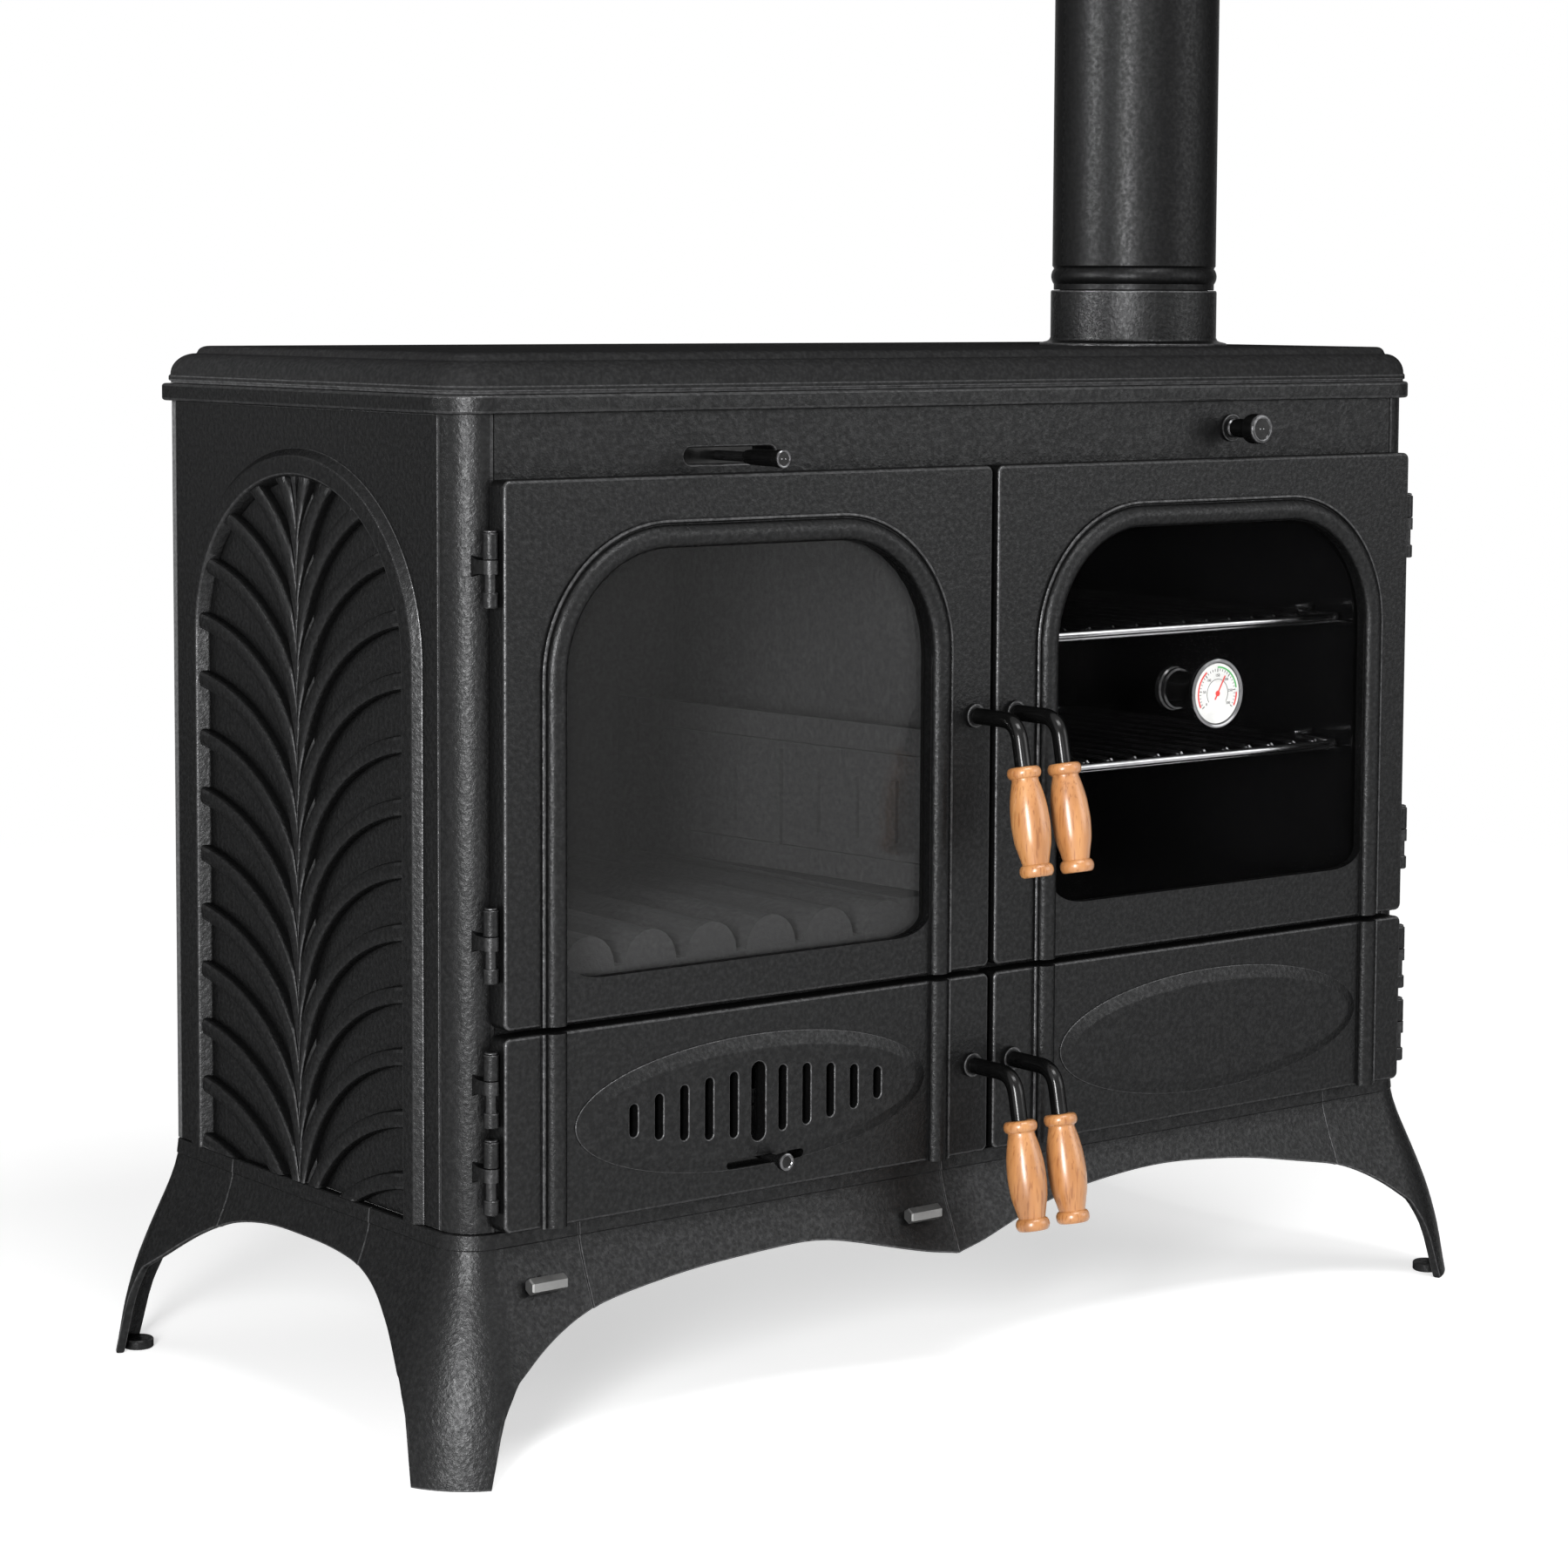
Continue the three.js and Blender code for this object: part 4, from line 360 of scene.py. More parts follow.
POLISHED = (300, 0.03, 0.05, 1.0)
PRINTED = (800, 0.02, 0.02, 1.0)
LOOKS = {name: finish(name, *values) for name, finish, *values in (
    ("cast_iron", cast_iron, 1.0, 0.38),
    # a lighter, unpolished iron for the plates, its colour lifted to paint light into the shaded firebox
    # behind the glass
    ("cast_plate", cast_iron, 3.2, 0.6, 1.0, 0.0, 0.3),
    # the cooktop's iron: rough, without sheen, and darker in colour, which paints shade over the cooker's top
    ("hob_iron", cast_iron, 0.75, 0.9, 1.0, 0.0, 0.0),
    ("stove_pipe", cast_iron, 0.62, 0.4, 0.2),
    ("black_enamel", plain, (0.004, 0.004, 0.0042), 0.1),
    ("black_gloss", gloss_black, 0.024, 0.17),
    ("beech", wood),
    ("zinc", plain, (0.2, 0.2, 0.197), 0.36, 0.9),
    ("chrome", plain, (0.7, 0.7, 0.71), 0.1, 1.0, POLISHED),
    ("dark_chrome", plain, (0.2, 0.2, 0.205), 0.14, 1.0, POLISHED),
    ("rack_steel", plain, (0.45, 0.45, 0.46), 0.22, 1.0, POLISHED),
    ("rope", plain, (0.2, 0.19, 0.17), 0.95, 0.0, (1500, 0.5, 0.3, 3.0)),
    ("dial", plain, (0.6, 0.6, 0.585), 0.45, 0.0, PRINTED),
    ("dial_black", plain, (0.02, 0.02, 0.02), 0.5, 0.0, PRINTED),
    ("dial_red", plain, (0.6, 0.03, 0.025), 0.45, 0.0, PRINTED),
    ("dial_green", plain, (0.05, 0.32, 0.08), 0.45, 0.0, PRINTED),
    ("fire_glass", glass, (0.01, 0.01, 0.0098), 0.24, 0.55),
    ("oven_glass", glass, (0.004, 0.004, 0.004), 0.06, 0.05),
)}


def dress_nodes():
    """Every CAD node takes the look of its slot in the record."""
    for row in frame["record"]["subparts"]:
        materials = NODES[row["node"]].data.materials
        materials.clear()
        materials.append(LOOKS[row["material_slot"]])


# ------------------------------------------------------------------ outlines
def turns(sides):
    return [2 * pi * k / sides for k in range(sides)]


def arc(cx, cy, rx, ry, start, end, steps):
    """Points of an elliptical arc, its angles in degrees, with both ends."""
    angles = [radians(start + (end - start) * i / steps) for i in range(steps + 1)]
    return [(cx + rx * cos(angle), cy + ry * sin(angle)) for angle in angles]


def cornered(x0, x1, z0, z1, low, high):
    """A box outline whose low and high corners are each (width, height, steps)."""
    (a, b, n), (c, d, m) = low, high
    return (
        arc(x1 - a, z0 + b, a, b, -90, 0, n) + arc(x1 - c, z1 - d, c, d, 0, 90, m)
        + arc(x0 + c, z1 - d, c, d, 90, 180, m) + arc(x0 + a, z0 + b, a, b, 180, 270, n)
    )


def rounded_box(x0, x1, z0, z1, radius, steps=6):
    corner = (radius, radius, steps)
    return cornered(x0, x1, z0, z1, corner, corner)


def slot_outline(x0, x1, z, width):
    """A slot between two X places, centred on a height, with round ends."""
    half = width / 2
    return rounded_box(x0, x1, z - half, z + half, min(half, (x1 - x0) / 2) - 0.01, 8)


LEAST_MITRE = 0.35  # keeps a sharp corner's mitre short


def normals(loop, closed=True):
    """The mitred outward normal at each point of a counterclockwise loop, or along an open path."""
    runs = [Vector((b[0] - a[0], b[1] - a[1])).normalized() for a, b in zip(loop, loop[1:] + loop[:1])]
    if not closed:
        runs[-1] = runs[-2]
    found = []
    for i, out in enumerate(runs):
        into = runs[i - 1] if closed or i else out
        first = Vector((into.y, -into.x))
        mean = (first + Vector((out.y, -out.x))).normalized()
        found.append(mean / max(mean.dot(first), LEAST_MITRE))
    return found


def offset(loop, amount):
    """The loop moved outwards, or inwards with a negative amount."""
    return [(x + n.x * amount, y + n.y * amount) for (x, y), n in zip(loop, normals(loop))]


def round_over(low, high, ease_low, ease_high, steps=3):
    """Levels of a slab with rounded edges, as (inset, height), from its low face to its high one."""
    quarter = [pi / 2 * i / steps for i in range(steps + 1)]
    return (
        [(ease_low * (1 - sin(turn)), low + ease_low * (1 - cos(turn))) for turn in quarter]
        + [(ease_high * (1 - cos(turn)), high - ease_high * (1 - sin(turn))) for turn in quarter]
    )


def smooth_value(points, x):
    """A smooth curve through (x, value) points that never overshoots them, read at one x."""
    last = len(points) - 1
    i = next((k for k in range(1, last) if x <= points[k][0]), last)

    def slope(k):
        return (points[k][1] - points[k - 1][1]) / (points[k][0] - points[k - 1][0])

    def at_knot(a, b):
        return 2 * a * b / (a + b) if a * b > 0 else 0.0

    here = slope(i)
    before = at_knot(slope(i - 1), here) if i > 1 else here
    after = at_knot(here, slope(i + 1)) if i < last else here
    span = points[i][0] - points[i - 1][0]
    t = min(max((x - points[i - 1][0]) / span, 0.0), 1.0)
    s = 1 - t
    ends = points[i - 1][1] * (1 + 2 * t) * s * s + points[i][1] * t * t * (3 - 2 * t)
    return ends + span * t * s * (before * s - after * t)


# ------------------------------------------------------------------ closed shapes, as (points, faces)
def skin(rings, closed=False, capped=True):
    """Rings of as many points each, joined one to the next."""
    count = len(rings[0])
    points = [point for ring in rings for point in ring]
    faces = []
    for a in range(0, len(points) - (0 if closed else count), count):
        b = (a + count) % len(points)
        faces += [(a + k, a + (k + 1) % count, b + (k + 1) % count, b + k) for k in range(count)]
    if capped and not closed:
        faces += [tuple(range(count)), tuple(range(len(points) - count, len(points)))]
    return points, faces


def prism(outline, levels):
    """A slab with one section of its outline at each (inset, height)."""
    rings = [[(x, y, height) for x, y in offset(outline, -inset)] for inset, height in levels]
    points, faces = skin(rings, capped=False)
    for start in (0, len(points) - len(outline)):
        ring = [Vector((x, y, 0)) for x, y, _ in points[start:start + len(outline)]]
        faces += [tuple(start + k for k in corners) for corners in tessellate_polygon([ring])]
    return points, faces


def slab(outline, low, high):
    return prism(outline, [(0, low), (0, high)])


def block(x0, x1, y0, y1, z0, z1):
    return slab([(x0, y0), (x1, y0), (x1, y1), (x0, y1)], z0, z1)


def lathe(base, profile, sides, closed=False):
    """A solid of revolution about Z from (radius, height over base) pairs, axis to axis or closed."""
    rings = [[(radius * cos(turn), radius * sin(turn), base + height) for turn in turns(sides)]
             for radius, height in profile]
    return skin(rings, closed, capped=False)


def rod(radius, low, high, sides, ease=0.0):
    """A round bar along Z, with chamfered ends where ease is given."""
    ends = [(radius - ease, low), (radius, low + ease), (radius, high - ease), (radius - ease, high)]
    return lathe(0, [(0, low), *(ends if ease else ends[::3]), (0, high)], sides)


def sweep(path, section):
    """A section of (across, height) pairs carried along a plane path, across towards its inside."""
    return skin([
        [(x - n.x * across, y - n.y * across, height) for across, height in section]
        for (x, y), n in zip(path, normals(path, False))
    ])


def tube(path, radii, sides, closed=False):
    """A round bar along a path of points, its radius one number or one for each point."""
    path = [Vector(point) for point in path]
    count = len(path)
    if not isinstance(radii, list):
        radii = [radii] * count
    rings = []
    across = None
    for i, (point, radius) in enumerate(zip(path, radii)):
        ahead = path[(i + 1) % count] if closed or i < count - 1 else point
        behind = path[i - 1] if closed or i else point
        along = (ahead - behind).normalized()
        if across is None:
            across = along.cross(Vector((1, 0, 0)) if abs(along.x) < 0.9 else Vector((0, 0, 1)))
        across = (across - along * across.dot(along)).normalized()
        other = along.cross(across)
        rings.append([point + (across * cos(turn) + other * sin(turn)) * radius for turn in turns(sides)])
    return skin(rings, closed)


def moved(shape, x=0, y=0, z=0):
    return [(a + x, b + y, c + z) for a, b, c in shape[0]], shape[1]


def front(shape):
    """Drawn in X and Z, with its height along Y."""
    return [(x, y, z) for x, z, y in shape[0]], shape[1]


def side(shape):
    """Drawn in Y and Z, with its height along X."""
    return [(x, y, z) for y, z, x in shape[0]], shape[1]


def on_door(shape):
    """Drawn in X and Z, with its height out of the doors' face."""
    return [(x, DOOR_FACE - height, z) for x, z, height in shape[0]], shape[1]


def facing(shape, x, z):
    """A lathe turned to lie along Y, through (x, z)."""
    return moved(front(shape), x, 0, z)


def mirrored(shape):
    """The shape reflected left to right about the cooker's middle."""
    return [(WIDTH - x, y, z) for x, y, z in shape[0]], shape[1]


# ------------------------------------------------------------------ solids and pieces
def solid(*shapes):
    """An object in millimetres holding closed shapes that don't meet each other."""
    points = []
    faces = []
    for shape_points, shape_faces in shapes:
        base = len(points)
        points += shape_points
        faces += [tuple(base + i for i in face) for face in shape_faces]
    mesh = bpy.data.meshes.new("solid")
    mesh.from_pydata(points, [], faces)
    tidy = bmesh.new()
    tidy.from_mesh(mesh)
    bmesh.ops.remove_doubles(tidy, verts=tidy.verts, dist=1e-4)
    bmesh.ops.recalc_face_normals(tidy, faces=tidy.faces)
    tidy.to_mesh(mesh)
    tidy.free()
    return linked("solid", mesh)


def carve(base, operation, *tools):
    """The base with each tool joined to it, cut from it, or kept only where they meet."""
    for tool in tools:
        step = base.modifiers.new("step", "BOOLEAN")
        step.operation = operation
        step.solver = "MANIFOLD"
        step.object = tool
    base.data = baked(base)
    base.modifiers.clear()
    if not base.data.polygons:
        raise ValueError("a boolean left nothing of " + base.name)
    for tool in tools:
        bpy.data.objects.remove(tool)
    return base


def join(base, *shapes):
    return carve(base, "UNION", *[solid(shape) for shape in shapes])


def cut(base, *shapes):
    return carve(base, "DIFFERENCE", *[solid(shape) for shape in shapes])


WEAR_AND_HIGHLIGHT_CURVATURE = (0.2, 0.5)  # turn per millimetre where rubbing and the painted edge highlight start, and where they are full
FLAT_ANGLE = radians(0.6)


def mark_wear_and_highlight(mesh):
    """Marks the narrow surfaces that bend outwards, such as rounded edges, where polish rubs off first and
    where a highlight is painted.
    """
    faces = mesh.polygons
    parent = list(range(len(faces)))

    def root(i):
        while parent[i] != i:
            parent[i] = parent[parent[i]]
            i = parent[i]
        return i

    normal = [face.normal.copy() for face in faces]
    centre = [face.center / MM for face in faces]
    shared = {}
    for face in faces:
        for key in face.edge_keys:
            shared.setdefault(key, []).append(face.index)
    borders = []
    for key, pair in shared.items():
        if len(pair) != 2:
            continue
        a, b = pair
        turn = normal[a].angle(normal[b], 0.0)
        if turn < FLAT_ANGLE:
            parent[root(a)] = root(b)
        else:
            borders.append((key, a, b, turn))
    area = [0.0] * len(faces)
    bend = [0.0] * len(faces)
    for face in faces:
        area[root(face.index)] += face.area / MM ** 2
    for (first, second), a, b, turn in borders:
        length = (mesh.vertices[first].co - mesh.vertices[second].co).length / MM
        if normal[a].dot(centre[b] - centre[a]) < 0:
            bend[root(a)] += turn * length / 2
            bend[root(b)] += turn * length / 2
    low, high = WEAR_AND_HIGHLIGHT_CURVATURE
    values = []
    for i in map(root, range(len(faces))):
        values.append(min(max((bend[i] / max(area[i], 0.01) - low) / (high - low), 0.0), 1.0))
    mesh.attributes.new("wear_and_highlight", "FLOAT", "FACE").data.foreach_set("value", values)


def settle(name, made, node, look="cast_iron", body="cooker_body", sharp=32, slot=None):
    """A finished piece: named, in metres, smooth between its sharp edges, riding on its body."""
    made.name = name
    made.data.name = name
    made.data.transform(Matrix.Translation(ORIGIN) @ Matrix.Scale(MM, 4))
    made.data.materials.clear()
    made.data.materials.append(LOOKS[look])
    mark_wear_and_highlight(made.data)
    made.data.shade_smooth()
    made.data.set_sharp_from_angle(angle=radians(sharp))
    made.modifiers.new("flat_faces", "WEIGHTED_NORMAL").keep_sharp = True
    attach(made, body)
    if node:
        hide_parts(node)
    slot or look


# ------------------------------------------------------------------ the front casting
OPENING_SIDE = 45
FRAME_BAR = (498, 524)
OPENINGS = [
    (OPENING_SIDE, FRAME_BAR[0], 358, 740), (OPENING_SIDE, FRAME_BAR[0], 192, 322),
    (FRAME_BAR[1], WIDTH - OPENING_SIDE, 362, 740), (FRAME_BAR[1], WIDTH - OPENING_SIDE, 192, 322),
]
AIR_SLOT = (208, 298, 770, 13)  # start, end, middle height, width
DAMPER = (799, 782)
DAMPER_ROD = 4.5
ROSE = 3
SEAM = 0.6  # half the width of the fine groove beside each pillar
SEAM_DEPTH = 1.4
LUG_ROOT = 8.2  # half height of the lug where it grows from the pillar
LUG_HALF_WIDTH = 6.2


def hinge_edge(column):
    """The X of the doors' edge that their hinges are on."""
    return column.start if column.outward < 0 else column.end


def hinge_axis(column):
    return hinge_edge(column) + column.outward * HINGE_OFFSET


def eased_slot(outline, face, depth, ease):
    """A tool that cuts a slot from a face, with its mouth rounded."""
    return front(prism(outline, [
        (-ease, face - 3), (-ease, face - 0.02), (-ease * 0.45, face + ease * 0.25),
        (-ease * 0.1, face + ease * 0.7), (0, face + ease * 1.2), (0, depth),
    ]))


def hinge_lug(z):
    """The ear that a left-hand hinge pin passes through, flared where it leaves the pillar."""
    axis = hinge_axis(LEFT)
    near, far = axis - LUG_HALF_WIDTH, axis + LUG_HALF_WIDTH
    flare = [(-22, 5.2), (-4, 5.2), (-1, 5.6), (2, 6.6), (4.5, 8.2), (8, 8.6)]
    outline = [(y, z - half) for y, half in flare] + [(y, z + half) for y, half in reversed(flare)]
    nose = arc(axis, HINGE_Y, LUG_HALF_WIDTH, LUG_HALF_WIDTH, 180, 360, 14)
    levels = round_over(z - LUG_ROOT, z + LUG_ROOT, 0.2, 0.2, 1)
    plan = prism([*nose, (far, WALL + 3), (near, WALL + 3)], levels)
    made = carve(solid(plan), "INTERSECT", solid(side(slab(outline, axis - 10, axis + 10))))
    shape = [tuple(v.co) for v in made.data.vertices], [tuple(p.vertices) for p in made.data.polygons]
    bpy.data.objects.remove(made)
    return shape


def front_frame():
    """The front casting: pillars and header, rim, openings, the damper's rose and the hinge lugs."""
    r = PILLAR
    inner = r - WALL
    outline = (
        arc(r, r, r, r, 180, 270, 18) + arc(WIDTH - r, r, r, r, 270, 360, 18)
        + arc(WIDTH - r, r, inner, inner, 0, -90, 10) + arc(r, r, inner, inner, -90, -180, 10)
    )
    over = r + RIM_OVER
    far = WIDTH - RIM_INSET
    rim = [
        (-RIM_OVER, RIM_SEAM), *arc(r, r, over, over, 180, 270, 20),
        *arc(WIDTH - r, r, over, over, 270, 360, 20), (WIDTH + RIM_OVER, RIM_SEAM),
        (far, RIM_SEAM), (far, RIM_INSET), (RIM_INSET, RIM_INSET), (RIM_INSET, RIM_SEAM),
    ]
    rose = lathe(-ROSE, [(0, 0), (11, 0), (11.7, 0.3), (12, 1), (12, ROSE + 2), (0, ROSE + 2)], 40)
    made = join(
        solid(slab(outline, BOTTOM, RIM_BOTTOM + 1)),
        prism(rim, round_over(RIM_BOTTOM, RIM_TOP, RIM_EASE, RIM_EASE)),
        facing(rose, *DAMPER),
    )
    holes = [front(slab(rounded_box(*opening, 4, 3), -1, WALL + 1)) for opening in OPENINGS]
    holes.append(eased_slot(slot_outline(*AIR_SLOT), 0, WALL + 1, 1.6))
    for x in (PILLAR + SEAM, WIDTH - PILLAR - SEAM):
        holes.append(block(x - SEAM, x + SEAM, -1, SEAM_DEPTH, BOTTOM - 1, RIM_BOTTOM))
    holes.append(facing(rod(DAMPER_ROD + FIT, -5, WALL + 1, 28), *DAMPER))
    made = cut(made, *holes)
    lugs = [hinge_lug(z) for z in UPPER.hinges + LOWER.hinges]
    made = join(made, *lugs, *map(mirrored, lugs))
    settle("front_frame_casting", made, "front_frame")


# ------------------------------------------------------------------ the side castings
ARCH_HALF = 179
ARCH_TOP = 773
ARCH_RISE = 159
ARCH_MIDDLE = (PANEL_START + PANEL_END) / 2
BAND = [
    (0, -1), (0, 0.3), (0.4, 0.8), (5.6, 5.6), (6.6, 6.2), (8, 6.4), (19.6, 6.4), (20.8, 6.0), (21.6, 5.0),
    (25.6, -2.5), (26, -5),
]
RELIEF_TOP = 4.5
RELIEF_FLOOR = -4.2
LEAF_REACH = 190
LEAF_RISE = 145
LEAF_PITCH = 48.5
LEAF_WIDTH = 14.5
LEAF_START = BOTTOM + 30
LEAF_PHASE = {1: 0.0, -1: 0.5}  # the leaves on the two sides of the spine alternate
LEAF_STEPS = 22
LEAF_CROWDING = 1.15  # draws the steps towards the spine, where the leaves bend most
LEAF_FILL = 0.8  # the most of its pitch that a leaf fills
LEAF_GAP = 7.0  # gaps narrower than this are shallower
SPINE = (5.0, 0.8)  # how far the leaves dip towards the spine, and how deep
LEAF_RIDGE = [(-1.0, 0.0), (-0.97, 0.62), (-0.82, 0.86), (-0.5, 0.97), (0.0, 1.0)]
LEAF_RIDGE += [(-across, height) for across, height in reversed(LEAF_RIDGE[:-1])]


def arch_outline(inset, low):
    half = ARCH_HALF - inset
    top = arc(ARCH_MIDDLE, ARCH_TOP - ARCH_RISE, half, ARCH_RISE - inset, 0, 180, 48)
    return [(ARCH_MIDDLE - half, low), (ARCH_MIDDLE + half, low), *top]


def leaf_half(direction):
    """The leaves on one side of the spine, as a slab whose front face carries their ridges."""
    back = WALL - 0.5
    last = acos(1 - (ARCH_HALF - BAND[-1][0] + 3) / LEAF_REACH)
    lowest = -int(LEAF_RISE / LEAF_PITCH) - 2
    highest = int((ARCH_TOP - BOTTOM) / LEAF_PITCH) + 2
    start = LEAF_START + LEAF_PITCH * LEAF_PHASE[direction]
    rings = []
    for i in range(LEAF_STEPS + 1):
        turn = last * (i / LEAF_STEPS) ** LEAF_CROWDING
        along = LEAF_REACH * (1 - cos(turn))
        room = LEAF_PITCH * cos(atan2(LEAF_RISE * cos(turn), LEAF_REACH * sin(turn)))
        share = min(LEAF_WIDTH / max(room, 0.01), LEAF_FILL)
        bed = RELIEF_TOP + (RELIEF_FLOOR - RELIEF_TOP) * min(room * (1 - share) / LEAF_GAP, 1.0)
        crown = RELIEF_TOP - SPINE[1] * max(0.0, 1 - along / SPINE[0])
        y = ARCH_MIDDLE - direction * along
        ring = []
        for k in range(lowest, highest):
            centre = start + LEAF_PITCH * k + LEAF_RISE * (sin(turn) - sin(last))
            for across, height in LEAF_RIDGE:
                ring.append((-bed - (crown - bed) * height, y, centre + LEAF_PITCH * share / 2 * across))
        rings.append([*ring, (back, y, ring[-1][2]), (back, y, ring[0][2])])
    return skin(rings)


def side_panel():
    """The left side casting: a plate with the palm leaves sunk in a banded arch, and its rim."""
    top = RIM_BOTTOM - FIT
    plate = solid(side(prism(
        [(PANEL_START, BOTTOM), (PANEL_END, BOTTOM), (PANEL_END, top), (PANEL_START, top)],
        round_over(0, WALL, 0.8, 0.1),
    )))
    bed = BAND[-1][0] - 2
    plate = cut(plate, side(slab(arch_outline(bed, BOTTOM - 5), -20, 20)))
    corner, *arch = arch_outline(0, BOTTOM + 0.2)
    points, faces = sweep([*arch, corner], BAND)
    band = [(-height, y, z) for y, z, height in points], faces
    leaves = carve(solid(leaf_half(1)), "UNION", solid(leaf_half(-1)))
    inside = side(slab(arch_outline(bed - 1.5, BOTTOM + 0.1), -30, 30))
    plate = carve(plate, "UNION", carve(leaves, "INTERSECT", solid(inside)))
    near, far = RIM_SEAM + FIT, DEPTH + RIM_BACK
    rim = [(-RIM_OVER, near), (RIM_INSET, near), (RIM_INSET, far), (-RIM_OVER, far)]
    return join(
        plate, band, prism(rim, round_over(RIM_BOTTOM, RIM_TOP, RIM_EASE, RIM_EASE)),
        block(0.5, WALL, near, PANEL_END, RIM_BOTTOM - 1, RIM_BOTTOM + 1),
    )


def side_panels():
    """The left side casting, and its mirror image on the right."""
    left = side_panel()
    right = linked("right", left.data.copy())
    right.data.transform(Matrix.Translation((WIDTH, 0, 0)) @ Matrix.Scale(-1, 4, (1, 0, 0)))
    right.data.flip_normals()
    settle("side_casting_left", left, "side_panel_left")
    settle("side_casting_right", right, "side_panel_right")


# ------------------------------------------------------------------ the cooktop, flue collar and pipe
LID_FOOT = 1.5
LID_BACK_CORNER = 8
LID_BORDER = 36  # the width of solid metal round the hollow underside
COLLAR_SEAT = 2  # how deep the collar is let into the cooktop
COLLAR_FOOT = 86  # radius of the collar's foot ring
COLLAR_TOP = LID_TOP + 50


def cooktop_ring(inset, height):
    """The cooktop's outline at one level, drawn in from its lip."""
    x0 = -RIM_OVER + 3 + inset
    x1 = WIDTH - x0
    y1 = DEPTH + RIM_BACK - inset
    near = max(PILLAR + RIM_OVER - 3 - inset, 6)
    far = max(LID_BACK_CORNER - inset / 4, 3)
    ring = cornered(x0, x1, x0, y1, (near, near, 14), (far, far, 8))
    return [(x, y, LID_LIP + height) for x, y in ring]


def cooktop():
    """The lid: a lip, an ogee swelling up from it, a small quirk and the rounded plateau."""
    levels = [(LID_FOOT, RIM_TOP + FIT - LID_LIP), (LID_FOOT, 0), (0.9, 0), (0.2, 0.4), (0, 1.2)]
    levels += [(0, 3.4), (0.3, 4.4), (1.2, 5.2)]
    levels += arc(18.2, 5.2, -17.0, 17.6, 9, 90, 9)
    levels += arc(26.0, 23.2, -7.2, 5.8, 90 / 7, 90, 6)
    made = cut(
        solid(skin([cooktop_ring(*level) for level in levels])),
        block(LID_BORDER, WIDTH - LID_BORDER, LID_BORDER, DEPTH - LID_BORDER, RIM_TOP - 1, LID_TOP - 10),
        moved(rod(FLUE_BORE, RIM_TOP, LID_TOP + 1, 72), *FLUE),
        moved(rod(COLLAR_FOOT + 2 * FIT, LID_TOP - COLLAR_SEAT, LID_TOP + 1, 96), *FLUE),
    )
    settle("cooktop_lid", made, "cooktop", "hob_iron", slot="cast_iron")


def flue():
    """The collar on the cooktop, and the pipe in it with its swelled bead."""
    seat = LID_TOP - COLLAR_SEAT + FIT
    rise = COLLAR_TOP - seat
    r = COLLAR_FOOT
    collar = lathe(seat, [
        (68.3, 0), (r - 0.8, 0), (r, 0.8), (r, 2.8), (r - 0.6, 3.6), (79.5, 5), (77.4, 6.2), (76.2, 8.6),
        (76.2, rise - 1.6), (75.8, rise - 0.5), (75, rise), (68.3, rise),
    ], 96, closed=True)
    settle("flue_collar_ring", solid(moved(collar, *FLUE)), "flue_collar")
    base = COLLAR_TOP + FIT
    rise = PIPE_TOP - base
    r = PIPE_RADIUS
    swell = [(r - 1.4 + 2.4 * sin(pi * i / 10) ** 0.8, 5.4 + 1.4 * i) for i in range(11)]
    pipe = lathe(base, [
        (FLUE_BORE, -36), (68, -36), (68, 0), (r - 1.8, 0), (r - 1.4, 0.5), *swell, (r - 1.2, 20.4),
        (r, 21.9), (r, rise - 0.6), (r - 0.6, rise), (r - 2, rise), (r - 2, 6), (FLUE_BORE, 2),
    ], 96, closed=True)
    settle("flue_pipe_tube", solid(moved(pipe, *FLUE)), "flue_pipe", "stove_pipe")


# ------------------------------------------------------------------ legs and aprons
LEG_WALL = 7
LEG_PROUD = 2
LEG_TOP = BOTTOM - FIT
SPLAY = [(0, 55), (10, 53), (43, 47), (76, 38), (106, 26.5), (129, 16.5), (150, 7.5), (170, 1.5), (BOTTOM, 0)]
LEG_EDGE = 77.5
FOOT_EDGE = [(0, 0), (20.9, 0), (25, 26), (29.8, 49.3), (36, 64), (41.6, 74.3), (45, LEG_EDGE)]
FRONT_LEG_CURVE = [(57.4, 96.2), (97.2, 114.7), (141.7, 123.2)]
SIDE_LEG_CURVE = [(42, 89), (77.7, 117.5), (124, 138)]
REAR_LEG_CURVE = [(33, 92), (75, 117.5), (130, 137)]
APRON_SEAM = 472
APRON_POINT = 105
LEG_SIDE = 126
LEG_FRONT = 106
LEG_REAR = 98
REAR_CORNER = 8
RIGHT_RUN = WIDTH - LEG_FRONT - APRON_SEAM
RIGHT_CURVE = [(0, APRON_POINT), (0.08, 112.4), (0.16, 123), (0.35, 138.6), (0.535, 143.5), (0.745, 136.7)]
FRONT_EDGE = [
    (PILLAR, LEG_EDGE), *FRONT_LEG_CURVE,
    (230, 132), (326, 135), (384, 124), (436, 111), (APRON_SEAM, APRON_POINT),
]
FRONT_EDGE_RIGHT = [
    *[(APRON_SEAM + RIGHT_RUN * share, height) for share, height in RIGHT_CURVE],
    *[(WIDTH - away, height) for away, height in reversed(FRONT_LEG_CURVE)],
    (WIDTH - PILLAR, LEG_EDGE),
]
SIDE_ARCH = DEPTH * 0.435
SIDE_EDGE = [
    (PILLAR, LEG_EDGE), *SIDE_LEG_CURVE, (SIDE_ARCH, 143.5), (DEPTH - SIDE_ARCH, 143.5),
    *[(DEPTH - away, height) for away, height in reversed(REAR_LEG_CURVE)],
    (DEPTH - REAR_CORNER, LEG_EDGE),
]
WALL_ROWS = 16
BAND_LOW = 171  # the flat band along the top of the legs and aprons ends here
BAND_STEP = 0.9
